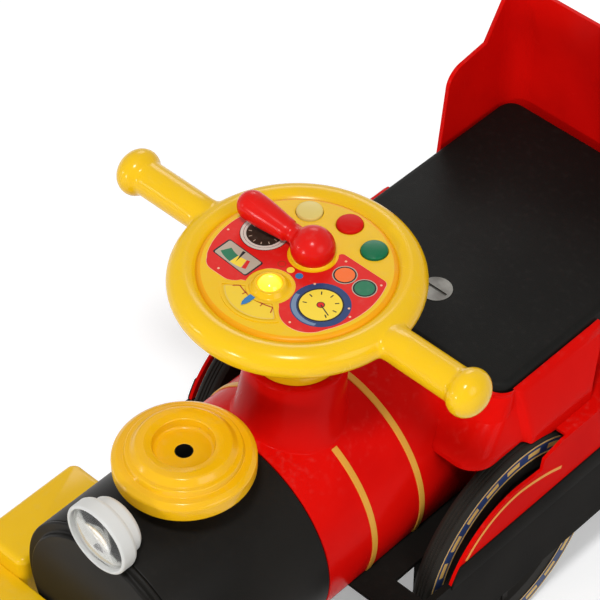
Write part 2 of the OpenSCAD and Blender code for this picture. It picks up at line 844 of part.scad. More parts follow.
module hinge_ear() {
    xcyl(ear_r, ear_x, ear_x + ear_w, hinge_y, hinge_z);
    block(ear_x, ear_x + ear_w, hinge_y - ear_r, hinge_y + ear_r, ear_foot, hinge_z);
    block(ear_x, ear_x + ear_w, hinge_y - ear_r, box_rear - wall / 2, ear_foot, ear_foot + 6);
}

// Tub behind the rider
back_in_x = box_x + fixed_gap;
back_in_y = box_rear + fixed_gap;
back_corner = 24;
wing_lean = 14;
wing_round = 20;

module seat_back() {
    color(red) intersection() {
        translate([0, 0, shelf_z]) linear_extrude(back_top - shelf_z) difference() {
            back_plan(back_in_x + back_t, back_in_y + back_t, back_corner);
            back_plan(back_in_x, back_in_y, back_corner - back_t);
        }
        side_plate(-half_w, half_w) polygon(concat(
            [[wing_front, shelf_z]],
            arc([wing_front + wing_lean + wing_round, wing_top - wing_round], wing_round, 180, 90),
            [
                [box_rear - 40, wing_top + 4], [box_rear - 14, back_top],
                [back_in_y + back_t + 1, back_top], [back_in_y + back_t + 1, shelf_z]
            ]
        ));
    }
}

module back_plan(x, y1, r) {
    polygon(concat(
        [[-x, shelf_y + r], [x, shelf_y + r]],
        arc([x - r, y1 - r], r, 0, 90), arc([r - x, y1 - r], r, 90, 180)
    ));
}

// Hinged seat lid
lock_shank_r = 5;
lock_head_h = 3;
lock_recess_z = seat_top - lock_head_h + 0.3;
lock_boss_low = plate_low - 10;
keeper_z = lock_boss_low - 10;
keeper_t = 3;
cam_half = 13;
cam_w = 8;
cam_top = keeper_z - 2;
cam_t = 4;
keeper_side = 15;
keeper_tail = 12;

module seat() {
    color(black) difference() {
        union() {
            difference() {
                soft_slab(-seat_x, seat_x, seat_front, seat_rear, seat_low, seat_top, seat_corner, seat_shoulder);
                block(
                    -seat_x + 2 * wall, seat_x - 2 * wall, seat_front + 2 * wall, seat_rear + 1,
                    seat_low - 1, plate_low
                );
                block(-seat_x - 1, seat_x + 1, hinge_y - 12, seat_rear + 1, seat_low - 1, plate_low);
            }
            zcyl(lock_r + 4, lock_boss_low, plate_low + 1, 0, lock_y);
            both() {
                xcyl(hinge_drop, knuckle_x, knuckle_x + knuckle_w, hinge_y, hinge_z);
                block(
                    knuckle_x, knuckle_x + knuckle_w, hinge_y - hinge_drop, hinge_y + hinge_drop,
                    hinge_z, plate_low + 1
                );
            }
        }
        zcyl(lock_r + gap, lock_recess_z - 0.3, seat_top + 1, 0, lock_y);
        zcyl(lock_shank_r + run_clear, lock_boss_low - 1, seat_top, 0, lock_y);
        xcyl(hinge_pin_r + run_clear, -knuckle_x - knuckle_w - 1, knuckle_x + knuckle_w + 1, hinge_y, hinge_z);
    }
}

module seat_lock() {
    slot_w = 2.6;
    color(steel) difference() {
        union() {
            zcyl(lock_r, lock_recess_z, lock_recess_z + lock_head_h, 0, lock_y);
            zcyl(lock_shank_r, cam_top - cam_t, lock_recess_z + 1, 0, lock_y);
            block(-cam_half, cam_half, lock_y - cam_w / 2, lock_y + cam_w / 2, cam_top - cam_t, cam_top);
        }
        block(
            -lock_r + 3, lock_r - 3, lock_y - slot_w / 2, lock_y + slot_w / 2,
            lock_recess_z + lock_head_h - 1.8, seat_top + 1
        );
    }
}

module lock_keeper() {
    color(steel) difference() {
        block(
            -cam_half - keeper_side, cam_half + keeper_side, box_front + wall, lock_y + cam_w / 2 + keeper_tail,
            keeper_z, keeper_z + keeper_t
        );
        block(
            -cam_half - 4, cam_half + 4, lock_y - cam_w / 2 - 4, lock_y + cam_w / 2 + 4,
            keeper_z - 1, keeper_z + keeper_t + 1
        );
    }
}

module seat_hinge_pin() {
    color(steel) xcyl(hinge_pin_r, -ear_x - ear_w - 3, ear_x + ear_w + 3, hinge_y, hinge_z);
}

// Power and sound
module battery() {
    half = battery_size[0] / 2;
    top = deck_z + battery_size[2];
    color("#3a3f46") {
        block(-half, half, battery_y, battery_y + battery_size[1], deck_z, top);
        for (x = [-half / 2, half / 2]) block(x - 4, x + 4, battery_y + 8, battery_y + 14, top, top + 6);
    }
}

module battery_clamp() {
    half = battery_size[0] / 2;
    top = deck_z + battery_size[2];
    mid = battery_y + battery_size[1] / 2;
    color(steel) {
        block(-half - 2, half + 2, mid - 8, mid + 8, top, top + 2);
        both() {
            block(half, half + 2, mid - 8, mid + 8, deck_z, top + 2);
            block(half, half + 18, mid - 8, mid + 8, deck_z, deck_z + 2);
        }
    }
}

module charge_socket() {
    x = socket_pos[0];
    z = socket_pos[1];
    color(black) difference() {
        union() {
            ycyl(socket_r, deck_rear - 20, deck_rear, x, z);
            ycyl(socket_r + 3, deck_rear, deck_rear + 2, x, z);
        }
        ycyl(socket_r - 3, deck_rear - 16, deck_rear + 3, x, z);
    }
}

module speaker() {
    color("#2c2c2e") {
        zcyl(speaker_r, deck_z, deck_z + 4, 0, speaker_y);
        translate([0, speaker_y, deck_z + 4]) cylinder(r1 = speaker_r - 4, r2 = speaker_r / 2, h = 10);
        zcyl(speaker_r / 2, deck_z + 14, deck_z + 22, 0, speaker_y);
    }
}

module sound_board() {
    y0 = box_front - wall - 14;
    color("#1d6b3a") {
        block(-28, 28, y0, y0 + 12, deck_z + 4, deck_z + 6);
        for (x = [-22, 22]) zcyl(2.5, deck_z, deck_z + 4, x, y0 + 6);
        block(-8, 8, y0 + 2, y0 + 10, deck_z + 6, deck_z + 9);
    }
}

// Steering wheel and what it carries
bowl_r = ring_r - 20.3;
collar_h = 18;
flare_h = 30;
hub_h = 34;
column_top = collar_low + hub_h - 6;
ledge_r = dash_r - 3.5;
neck_flare = 3;
neck_len = 16;
dash_edge = 4;
seat_ring_r = 19.5;
seat_ring_h = 2;
seat_floor = 0.2;
lever_ball_z = dash_z + 7.4;
mound_h = 4;
mound_top_r = 12;
button_flange = 1;
button_low = dash_low - 3;
label_top_y = 33;
label_low_y = -45;
sector_top_x = 11;
sector_low_x = 31;
sector_top_y = lamp_y - 4;
board_r = ledge_r - 12.1;
post_ring = board_r - 10;

module steering_wheel() {
    color(yellow) translate([0, steer_y, 0]) difference() {
        union() {
            rotate_extrude() polygon([
                [0, collar_low], [collar_r, collar_low], [collar_r, collar_low + collar_h],
                [collar_r + 5, collar_low + flare_h],
                [bowl_r, ring_z - 22], [ring_r, ring_z - tube_r + 1], [ring_r, dash_low], [ledge_r, dash_low],
                [ledge_r, ring_z - 10], [bowl_r - 2, ring_z - 20], [collar_r, collar_low + hub_h], [0, collar_low + hub_h]
            ]);
            rotate_extrude() translate([ring_r, ring_z]) circle(tube_r);
            both() handle();
        }
        zcyl(dash_r + gap, dash_low, ring_z + 2 * tube_r);
        zcyl(column_r + run_clear, collar_low - 1, column_top);
    }
}

module handle() {
    neck_x = ring_r + tube_r - 4;
    ball_start = 180 - asin(handle_r / ball_r);
    neck = [for (a = [0:18:90]) [handle_r + neck_flare * (1 - sin(a)), neck_x + neck_len * (1 - cos(a))]];
    ball = [for (k = [0:10]) let (a = ball_start * (1 - k / 10))
        [k == 10 ? 0 : ball_r * sin(a), ball_x + ball_half * cos(a)]];
    translate([0, 0, ring_z]) rotate([0, 90, 0]) rotate_extrude()
        polygon(concat([[0, ring_r], [tube_r - 1, ring_r]], neck, ball));
}

module button_place(k) {
    a = button_angles[k];
    translate([button_ring * cos(a), steer_y + button_ring * sin(a), 0]) children();
}

// All that is lower than z under the lever's ball
module lever_room(z) {
    reach = 2 * lever_ball_r;
    y = steer_y + lever_y;
    block(-reach, reach, y - reach, y + reach, dash_low - reach, z);
}

module dash_panel() {
    edge = [for (a = [0:15:90]) [dash_r - dash_edge * (1 - cos(a)), dash_z - dash_edge * (1 - sin(a))]];
    color(yellow) difference() {
        union() {
            translate([0, steer_y, 0]) rotate_extrude()
                polygon(concat([[0, dash_low], [dash_r, dash_low]], edge, [[0, dash_z]]));
            zcyl(seat_ring_r, dash_z - 1, dash_z + seat_ring_h, 0, steer_y + lever_y);
            translate([0, steer_y + lamp_y, dash_z]) cylinder(r1 = mound_r, r2 = mound_top_r, h = mound_h);
        }
        for (k = [0:2]) button_place(k) zcyl(button_r + gap, dash_low - 1, dash_z + 1);
        difference() {
            translate([0, steer_y + lever_y, lever_ball_z]) sphere(r = lever_ball_r + gap, $fn = 96);
            lever_room(dash_z + seat_floor);
        }
        zcyl(lever_stem_r + run_clear, dash_low - 1, dash_z + 1, 0, steer_y + lever_y);
        zcyl(lamp_r + run_clear, dash_low - 1, dash_z + mound_h + 1, 0, steer_y + lamp_y);
    }
}

module dash_label() {
    color(red) translate([0, steer_y, dash_z]) linear_extrude(label_t) difference() {
        intersection() {
            circle(label_r);
            translate([-label_r, label_low_y]) square([2 * label_r, label_top_y - label_low_y]);
        }
        translate([0, lever_y]) circle(seat_ring_r + gap);
        translate([0, lamp_y]) circle(mound_r + gap);
        polygon([
            [-sector_top_x, sector_top_y], [sector_top_x, sector_top_y],
            [sector_low_x, label_low_y - 1], [-sector_low_x, label_low_y - 1]
        ]);
    }
}

module button(k, tint) {
    color(tint) button_place(k) {
        zcyl(button_r, button_low, dash_z + button_h);
        zcyl(button_r + button_flange, button_low, dash_low - 0.3);
    }
}

module button_cream() button(0, "#f2ecb4");

module button_red() button(1, "#e01810");

module button_green() button(2, "#0e8c48");

module button_board() {
    color("#1d6b3a") difference() {
        union() {
            zcyl(board_r, board_z, board_z + board_t, 0, steer_y);
            for (a = [190, 270, 350]) translate([post_ring * cos(a), steer_y + post_ring * sin(a), 0])
                zcyl(3, board_z, dash_low);
            for (k = [0:2]) button_place(k) zcyl(5, board_z, button_low - button_travel - 0.3);
        }
        zcyl(lever_stem_r + 6, board_z - 1, board_z + board_t + 1, 0, steer_y + lever_y);
    }
}

module lever() {
    y = steer_y + lever_y;
    color("#d01414") {
        difference() {
            translate([0, y, lever_ball_z]) sphere(r = lever_ball_r, $fn = 96);
            lever_room(dash_z + gap);
        }
        translate([0, y, lever_ball_z]) rotate([0, 90 - lever_rise, lever_angle]) {
            cylinder(r1 = lever_neck_r - 1, r2 = lever_end_r, h = lever_len);
            translate([0, 0, lever_len]) sphere(r = lever_end_r, $fn = 96);
        }
        zcyl(lever_stem_r, dash_low - 5, dash_z + 2, 0, y);
        zcyl(lever_stem_r + 4, dash_low - 4, dash_low - 0.3, 0, y);
    }
}

module lamp_lens() {
    y = steer_y + lamp_y;
    color("#f8a812") {
        zcyl(lamp_r, dash_low + 3, dash_z + mound_h, 0, y);
        intersection() {
            translate([0, y, dash_z + mound_h - lamp_r]) sphere(r = lamp_r * sqrt(2), $fn = 96);
            zcyl(lamp_r, dash_z + mound_h - 1, dash_z + mound_h + lamp_r, 0, y);
        }
    }
}

module lamp_led() {
    y = steer_y + lamp_y;
    color("#fff0b0") {
        zcyl(2.5, board_z + board_t, dash_low - 2, 0, y);
        translate([0, y, dash_low - 2]) sphere(r = 2.5, $fn = 48);
    }
}

module steering_column() {
    color(steel) zcyl(column_r, arm_low - 2, column_top - 0.3, 0, steer_y);
}

module column_bushes() {
    color(white_nylon) for (z = [boss_top_z, deck_z]) difference() {
        zcyl(bush_r, z - bush_len, z, 0, steer_y);
        zcyl(column_r + run_clear, z - bush_len - 1, z + 1, 0, steer_y);
    }
}

// A flat bar with two eyes, seen from above
module bar_plan(r, p, q) {
    translate(p) circle(r);
    translate(q) circle(r);
    along = q - p;
    translate(p) rotate(atan2(along[1], along[0])) translate([0, -r * 0.7]) square([norm(along), 1.4 * r]);
}

module pitman_arm() {
    color(steel) difference() {
        union() {
            zcyl(column_r + 6, arm_low, arm_top, 0, steer_y);
            translate([0, 0, arm_low]) linear_extrude(arm_t)
                bar_plan(link_eye_r, [0, steer_y], [arm_len, steer_y]);
            zcyl(link_pin_r, link_low - 1, arm_low + 1, arm_len, steer_y);
        }
        zcyl(column_r + run_clear, arm_low - 1, arm_top + 1, 0, steer_y);
    }
}

module drag_link() {
    color(steel) difference() {
        translate([0, 0, link_low]) linear_extrude(link_t)
            bar_plan(link_eye_r, [arm_len, steer_y], [arm_len, bogie_y]);
        zcyl(link_pin_r + run_clear, link_low - 1, link_top + 1, arm_len, steer_y);
        zcyl(link_pin_r + link_clear, link_low - 1, link_top + 1, arm_len, bogie_y);
    }
}

// Front bogie
module bogie() {
    color(black) difference() {
        union() {
            block(-leg_x, leg_x, bogie_y - 30, bogie_y + 30, bogie_low, bogie_top);
            both() side_plate(leg_x - leg_t, leg_x) union() {
                translate([bogie_y, front_r]) circle(front_axle_r + 9);
                polygon([
                    [bogie_y - 30, bogie_low + 1], [bogie_y - 9, front_r],
                    [bogie_y + 9, front_r], [bogie_y + 30, bogie_low + 1]
                ]);
            }
            zcyl(link_pin_r, link_low - 1, bogie_low + 1, arm_len, bogie_y);
        }
        zcyl(kingpin_r + run_clear, bogie_low - 1, bogie_top + 1, 0, bogie_y);
        xcyl(front_axle_r + run_clear, -leg_x - 1, leg_x + 1, bogie_y, front_r);
    }
}

module kingpin() {
    color(steel) {
        zcyl(kingpin_r, bogie_low - 6, deck_z + 1, 0, bogie_y);
        zcyl(kingpin_r + 5, deck_z, deck_z + 4, 0, bogie_y);
        zcyl(kingpin_r + 3, bogie_low - 4, bogie_low - gap, 0, bogie_y);
    }
}

front_out_x = front_face_x + front_w;

module front_axle() {
    color(steel) {
        xcyl(front_axle_r, -front_out_x - 5, front_out_x + 5, bogie_y, front_r);
        both() xcyl(front_axle_r + 5, front_out_x + gap, front_out_x + 4, bogie_y, front_r);
    }
}

// A wheel whose tread runs from x0 to x1, with a hub boss reaching in to hub_x
module road_wheel(r, x0, x1, hub_x, bore_r, y) {
    color(black) translate([0, y, r]) rotate([0, 90, 0]) rotate_extrude() polygon([
        [bore_r, hub_x], [bore_r + 7, hub_x], [bore_r + 7, x0 + 3], [r * 0.72, x0 + 3], [r * 0.76, x0],
        [r - 3, x0], [r, x0 + 3], [r, x1 - 3], [r - 3, x1], [r * 0.84, x1],
        [r * 0.8, x1 - 3], [bore_r + 9, x1 - 3], [bore_r + 7, x1], [bore_r, x1]
    ]);
}

module front_wheel_left() road_wheel(
    front_r, front_face_x, front_out_x, leg_x + gap, front_axle_r + run_clear, bogie_y
);

module front_wheel_right() mirror([1, 0, 0]) front_wheel_left();

module wheel_mid_left() road_wheel(
    big_r, big_in_x, big_face_x, big_in_x, mid_axle_r + run_clear, mid_y
);

module wheel_mid_right() mirror([1, 0, 0]) wheel_mid_left();

module mid_axle() {
    color(steel) xcyl(mid_axle_r, -skirt_in + 1, skirt_in - 1, mid_y, big_r);
}

module axle_spacers() {
    color(white_nylon) both() difference() {
        xcyl(mid_axle_r + 4, rail_x, big_in_x - gap, mid_y, big_r);
        xcyl(mid_axle_r + run_clear, rail_x - 1, big_in_x, mid_y, big_r);
    }
}

module mid_hub_caps() {
    color(steel) both() difference() {
        xcyl(mid_axle_r + 7, big_face_x + gap, skirt_in - 1.5, mid_y, big_r);
        xcyl(mid_axle_r + run_clear, big_face_x, skirt_in, mid_y, big_r);
    }
}

module rear_axle() {
    color(steel) {
        xcyl(rear_axle_r, -rear_out_x - 4, rear_out_x + 4, rear_y, rear_r);
        both() xcyl(rear_axle_r + 5, rear_out_x, rear_out_x + 4, rear_y, rear_r);
    }
}

module rear_wheel_left() road_wheel(
    rear_r, rear_in_x, rear_out_x, rail_x + 2.5, rear_axle_r + run_clear, rear_y
);

module rear_wheel_right() mirror([1, 0, 0]) rear_wheel_left();

module rear_bushes() {
    color(white_nylon) both() difference() {
        union() {
            xcyl(rear_bush_r, rail_x - rail_t, rail_x + 1, rear_y, rear_r);
            xcyl(rear_bush_r + 2, rail_x, rail_x + 2, rear_y, rear_r);
        }
        xcyl(rear_axle_r + run_clear, rail_x - rail_t - 1, rail_x + 3, rear_y, rear_r);
    }
}

// Gear train on the rear axle
large_x = gears_x + 2;
small_x = large_x + motor_face_w + 2;

module axle_gear() {
    color(white_nylon) translate([0, rear_y, rear_r]) difference() {
        gear(drive_mod, axle_teeth, small_x + 1, small_x + 1 + drive_face_w, drive_angle);
        xcyl(rear_axle_r + run_clear, gears_x, cover_x, 0, 0);
    }
}

module compound_gear() {
    color(white_nylon) translate([0, gear_pos[0], gear_pos[1]]) difference() {
        union() {
            gear(motor_mod, large_teeth, large_x, large_x + motor_face_w, motor_angle);
            gear(
                drive_mod, small_teeth, large_x + motor_face_w - 1, small_x + drive_face_w + 2,
                drive_angle + 180 + 180 / small_teeth
            );
            xcyl(gear_pin_r + 2, gears_x + gap, large_x + 1, 0, 0);
        }
        xcyl(gear_pin_r + run_clear, gears_x, cover_x, 0, 0);
    }
}

module gear_pin() {
    color(steel) xcyl(gear_pin_r, gearbox_x, cover_x + plate_t, gear_pos[0], gear_pos[1]);
}

module gearbox_plate(x0) {
    difference() {
        block(x0, x0 + plate_t, case_front, case_rear, case_low, deck_low);
        xcyl(rear_axle_r + 1, x0 - 1, x0 + plate_t + 1, rear_y, rear_r);
        xcyl(gear_pin_r + run_clear, x0 - 1, x0 + plate_t + 1, gear_pos[0], gear_pos[1]);
    }
}

module gearbox_case() {
    color("#4a4d52") difference() {
        union() {
            gearbox_plate(gearbox_x);
            difference() {
                block(gears_x, cover_x, case_front, case_rear, case_low, deck_low);
                block(
                    gears_x - 1, cover_x + 1, case_front + wall, case_rear - wall,
                    case_low + wall, deck_low - wall
                );
            }
        }
        xcyl(4, gearbox_x - 1, gears_x + 1, motor_pos[0], motor_pos[1]);
    }
}

module gearbox_cover() {
    color("#4a4d52") gearbox_plate(cover_x);
}

motor_shaft_r = 1.5;
shaft_depth = 12;

module motor() {
    color(steel) difference() {
        xcyl(motor_r, gearbox_x - motor_len, gearbox_x, motor_pos[0], motor_pos[1]);
        xcyl(
            motor_shaft_r + run_clear, gearbox_x - shaft_depth, gearbox_x + 1,
            motor_pos[0], motor_pos[1]
        );
    }
}

module motor_pinion() {
    color("#c9a54a") {
        translate([0, motor_pos[0], motor_pos[1]])
            gear(
                motor_mod, pinion_teeth, large_x - 0.5, large_x + motor_face_w + 0.5,
                motor_angle + 180 + 180 / pinion_teeth
            );
        xcyl(motor_shaft_r, gearbox_x - shaft_depth + gap, large_x + 1, motor_pos[0], motor_pos[1]);
    }
}

module body_screws() {
    color(steel) for (p = screw_places) both() {
        zcyl(screw_r, deck_low - 1, deck_low + screw_len, p[0], p[1]);
        zcyl(screw_head_r, deck_low - screw_head_h, deck_low, p[0], p[1]);
    }
}

chassis();
chassis_rails();
tow_bar();
body_front();
boiler_bands();
smokebox();
smokebox_door();
chimney();
headlamp_housing();
headlamp_lens();
front_beam();
side_box_left();
side_box_right();
body_rear();
seat_back();
seat();
seat_lock();
lock_keeper();
seat_hinge_pin();
battery();
battery_clamp();
charge_socket();
speaker();
sound_board();
steering_wheel();
dash_panel();
dash_label();
button_cream();
button_red();
button_green();
button_board();
lever();
lamp_lens();
lamp_led();
steering_column();
column_bushes();
pitman_arm();
drag_link();
bogie();
kingpin();
front_axle();
front_wheel_left();
front_wheel_right();
wheel_mid_left();
wheel_mid_right();
mid_axle();
axle_spacers();
mid_hub_caps();
rear_axle();
rear_wheel_left();
rear_wheel_right();
rear_bushes();
axle_gear();
compound_gear();
gear_pin();
gearbox_case();
gearbox_cover();
motor();
motor_pinion();
body_screws();
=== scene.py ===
"""Ride-on toy train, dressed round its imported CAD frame. Metres, +Z up, -Y is the front."""
import json
import math

import bmesh
import bpy
from mathutils import Matrix, Vector

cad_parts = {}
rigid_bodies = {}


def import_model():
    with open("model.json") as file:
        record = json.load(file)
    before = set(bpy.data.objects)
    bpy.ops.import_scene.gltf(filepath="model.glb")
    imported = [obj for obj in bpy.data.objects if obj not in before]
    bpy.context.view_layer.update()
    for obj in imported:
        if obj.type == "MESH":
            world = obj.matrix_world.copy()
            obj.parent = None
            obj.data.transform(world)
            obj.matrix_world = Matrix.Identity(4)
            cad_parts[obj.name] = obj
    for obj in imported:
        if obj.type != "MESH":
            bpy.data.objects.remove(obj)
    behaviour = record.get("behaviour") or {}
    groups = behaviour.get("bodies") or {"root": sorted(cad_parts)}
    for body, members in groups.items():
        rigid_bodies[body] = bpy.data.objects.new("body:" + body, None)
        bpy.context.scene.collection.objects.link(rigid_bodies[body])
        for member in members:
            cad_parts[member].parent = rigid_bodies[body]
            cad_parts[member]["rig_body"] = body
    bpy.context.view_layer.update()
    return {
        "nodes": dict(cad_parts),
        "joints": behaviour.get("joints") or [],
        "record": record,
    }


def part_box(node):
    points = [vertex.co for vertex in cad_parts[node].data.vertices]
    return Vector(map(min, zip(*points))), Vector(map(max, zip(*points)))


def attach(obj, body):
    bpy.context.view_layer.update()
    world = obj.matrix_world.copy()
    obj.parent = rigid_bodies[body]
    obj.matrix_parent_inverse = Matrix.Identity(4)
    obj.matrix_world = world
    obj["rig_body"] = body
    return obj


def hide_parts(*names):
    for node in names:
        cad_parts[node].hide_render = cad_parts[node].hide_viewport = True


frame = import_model()
NODES = frame["nodes"]
SLOT = {part["node"]: part["material_slot"] for part in frame["record"]["subparts"]}
MM = 0.001

# Places read from the frame
JOINT = {joint["name"]: joint for joint in frame["joints"]}
STEER = Vector(JOINT["steering"]["pos_m"])
LEVER = Vector(JOINT["lever_swing"]["pos_m"])
DASH_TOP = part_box("dash_panel")[1].z - 4 * MM


# Camera and light

CAMERA_PLACE = Vector((0.99685, -1.13798, 1.83525))
CAMERA_BACK = Vector((0.4844, -0.5107, 0.7102))
CAMERA_LENS = 165.26
CAMERA_SENSOR = 36
# Each light: its place, the height that it aims at, its width and its watts
LIGHTS = {
    "key_top": ((0.7, -1.1, 2.7), 0.25, 0.4, 40),
    "front_low": ((-0.2, -2.5, 0.7), 0.3, 0.25, 15),
    "left_low": ((-1.6, -2.0, 0.7), 0.3, 0.25, 6),
    "fill_side": ((2.2, -0.2, 1.5), 0.2, 1.4, 16),
    "rim_rear": ((-1.6, 1.8, 1.8), 0.2, 1.2, 16),
}
WORLD_LEVEL = 0.32
FLOOR_HALF = 6
FLOOR_TONE = 0.86
FLOOR_GLOW = {"From Min": 0.8, "From Max": 2.4, "To Min": 0.3, "To Max": 1}


def place_camera():
    data = bpy.data.cameras.new("photo_camera")
    data.lens = CAMERA_LENS
    data.sensor_width = CAMERA_SENSOR
    camera = bpy.data.objects.new("photo_camera", data)
    bpy.context.scene.collection.objects.link(camera)
    camera.location = CAMERA_PLACE
    camera.rotation_mode = "QUATERNION"
    camera.rotation_quaternion = (-CAMERA_BACK).to_track_quat("-Z", "Y")
    bpy.context.scene.camera = camera


def area_light(name, place, aim, size, power):
    data = bpy.data.lights.new(name, "AREA")
    data.shape = "DISK"
    data.size = size
    data.energy = power
    lamp = bpy.data.objects.new(name, data)
    bpy.context.scene.collection.objects.link(lamp)
    lamp.location = place
    lamp.rotation_mode = "QUATERNION"
    lamp.rotation_quaternion = (Vector(aim) - Vector(place)).to_track_quat("-Z", "Y")


def seen_ray(tree):
    """1 for rays that show the backdrop: straight to the camera, or by way of metal or glass."""
    path = tree.nodes.new("ShaderNodeLightPath")
    seen = path.outputs["Is Camera Ray"]
    for label in ("Is Glossy Ray", "Is Transmission Ray"):
        either = tree.nodes.new("ShaderNodeMath")
        either.operation = "MAXIMUM"
        tree.links.new(seen, either.inputs[0])
        tree.links.new(path.outputs[label], either.inputs[1])
        seen = either.outputs[0]
    return seen


def light_studio():
    for name, (place, aim_z, size, power) in LIGHTS.items():
        area_light(name, place, (0, 0, aim_z), size, power)
    world = bpy.data.worlds.new("studio")
    bpy.context.scene.world = world
    world.use_nodes = True
    nodes, links = world.node_tree.nodes, world.node_tree.links
    level = nodes.new("ShaderNodeMapRange")
    level.inputs["To Min"].default_value = WORLD_LEVEL
    level.inputs["To Max"].default_value = 1
    links.new(seen_ray(world.node_tree), level.inputs["Value"])
    links.new(level.outputs[0], nodes["Background"].inputs["Strength"])
    nodes["Background"].inputs["Color"].default_value = (1, 1, 1, 1)
    bpy.context.scene.view_settings.view_transform = "Standard"


def lay_floor():
    bm = bmesh.new()
    bmesh.ops.create_grid(bm, x_segments=1, y_segments=1, size=FLOOR_HALF)
    mesh = bpy.data.meshes.new("studio_floor")
    bm.to_mesh(mesh)
    bm.free()
    floor = bpy.data.objects.new("studio_floor", mesh)
    bpy.context.scene.collection.objects.link(floor)
    material = bpy.data.materials.new("pale_floor")
    material.use_nodes = True
    nodes, links = material.node_tree.nodes, material.node_tree.links
    shader = nodes["Principled BSDF"]
    shader.inputs["Base Color"].default_value = (FLOOR_TONE, FLOOR_TONE, FLOOR_TONE, 1)
    shader.inputs["Roughness"].default_value = 0.9
    shader.inputs["Specular IOR Level"].default_value = 0
    away = nodes.new("ShaderNodeVectorMath")
    away.operation = "LENGTH"
    links.new(nodes.new("ShaderNodeTexCoord").outputs["Object"], away.inputs[0])
    level = nodes.new("ShaderNodeMapRange")
    for label, value in FLOOR_GLOW.items():
        level.inputs[label].default_value = value
    links.new(away.outputs["Value"], level.inputs["Value"])
    glow = nodes.new("ShaderNodeMath")
    glow.operation = "MULTIPLY"
    links.new(seen_ray(material.node_tree), glow.inputs[0])
    links.new(level.outputs[0], glow.inputs[1])
    shader.inputs["Emission Color"].default_value = (1, 1, 1, 1)
    links.new(glow.outputs[0], shader.inputs["Emission Strength"])
    mesh.materials.append(material)


# Shader groups shared by the materials

TONE_RAMP = (0.3, 0.75)
SCRATCH_RAMP = (0.66, 0.74)
SCRATCH_TURN = (0.4, 0.7, 0.5)
SCRATCH_SCALE = (30, 520, 60)
PATCH_SCALE = 24
PATCH_RAMP = (0.52, 0.66)
UPWARD_RAMP = (0.5, 1.0)
SPECK_SCALE = 160
SPECK_RAMP = (0.5, 0.8)
GRAIN_HEIGHT = 0.0004


def new_group(name, inputs, outputs):
    """An empty shader group with float inputs {name: default} and outputs {name: socket type}."""
    group = bpy.data.node_groups.new(name, "ShaderNodeTree")
    for label, value in inputs.items():
        socket = group.interface.new_socket(label, in_out="INPUT", socket_type="NodeSocketFloat")
        socket.default_value = value
    for label, kind in outputs.items():
        group.interface.new_socket(label, in_out="OUTPUT", socket_type=kind)
    return group, group.nodes.new("NodeGroupInput"), group.nodes.new("NodeGroupOutput")


def noise_node(tree, vector, detail, scale=None):
    node = tree.nodes.new("ShaderNodeTexNoise")
    node.inputs["Detail"].default_value = detail
    if scale is not None:
        node.inputs["Scale"].default_value = scale
    tree.links.new(vector, node.inputs["Vector"])
    return node


def ramp_node(tree, value, low, high):
    """A mask that rises from 0 at low to 1 at high."""
    node = tree.nodes.new("ShaderNodeMapRange")
    node.interpolation_type = "SMOOTHSTEP"
    node.inputs["From Min"].default_value = low
    node.inputs["From Max"].default_value = high
    tree.links.new(value, node.inputs["Value"])
    return node.outputs[0]


def math_node(tree, operation, first, second):
    node = tree.nodes.new("ShaderNodeMath")
    node.operation = operation
    for k, value in enumerate((first, second)):
        if isinstance(value, (int, float)):
            node.inputs[k].default_value = value
        else:
            tree.links.new(value, node.inputs[k])
    return node.outputs[0]


def mould_skin_group():
    """Moulded plastic: soft tone, faint rub marks, dust on upward faces and a fine grain in the normal."""
    group, given, made = new_group(
        "mould_skin",
        {"Grain Scale": 900, "Grain Depth": 0.1, "Tone Scale": 14, "Rub Amount": 1},
        {
            "Tone": "NodeSocketFloat", "Rub": "NodeSocketFloat", "Dust": "NodeSocketFloat",
            "Normal": "NodeSocketVector",
        },
    )
    link = group.links.new
    coords = group.nodes.new("ShaderNodeTexCoord").outputs["Object"]
    tone = noise_node(group, coords, 3)
    link(given.outputs["Tone Scale"], tone.inputs["Scale"])
    link(ramp_node(group, tone.outputs["Fac"], *TONE_RAMP), made.inputs["Tone"])
    turn = group.nodes.new("ShaderNodeMapping")
    turn.inputs["Rotation"].default_value = SCRATCH_TURN
    turn.inputs["Scale"].default_value = SCRATCH_SCALE
    link(coords, turn.inputs["Vector"])
    scratch = noise_node(group, turn.outputs["Vector"], 2, 1)
    patch = noise_node(group, coords, 2, PATCH_SCALE)
    marks = math_node(
        group, "MULTIPLY",
        ramp_node(group, scratch.outputs["Fac"], *SCRATCH_RAMP),
        ramp_node(group, patch.outputs["Fac"], *PATCH_RAMP),
    )
    link(math_node(group, "MULTIPLY", marks, given.outputs["Rub Amount"]), made.inputs["Rub"])
    normal = group.nodes.new("ShaderNodeNewGeometry").outputs["Normal"]
    split = group.nodes.new("ShaderNodeSeparateXYZ")
    link(normal, split.inputs[0])
    speck = noise_node(group, coords, 6, SPECK_SCALE)
    dust = math_node(
        group, "MULTIPLY",
        ramp_node(group, split.outputs["Z"], *UPWARD_RAMP),
        ramp_node(group, speck.outputs["Fac"], *SPECK_RAMP),
    )
    link(dust, made.inputs["Dust"])
    grain = noise_node(group, coords, 4)
    link(given.outputs["Grain Scale"], grain.inputs["Scale"])
    bump = group.nodes.new("ShaderNodeBump")
    bump.inputs["Distance"].default_value = GRAIN_HEIGHT
    link(given.outputs["Grain Depth"], bump.inputs["Strength"])
    link(grain.outputs["Fac"], bump.inputs["Height"])
    link(bump.outputs["Normal"], made.inputs["Normal"])
    return group


MOULD_SKIN = mould_skin_group()


# Materials

DUST_TONE = (0.42, 0.38, 0.33)
RUB_DULLS = 0.16
SHADE_DULLS = 0.05
METAL_SHADE_DULLS = 0.15


def new_material(name):
    material = bpy.data.materials.new(name)
    material.use_nodes = True
    return material, material.node_tree, material.node_tree.nodes["Principled BSDF"]


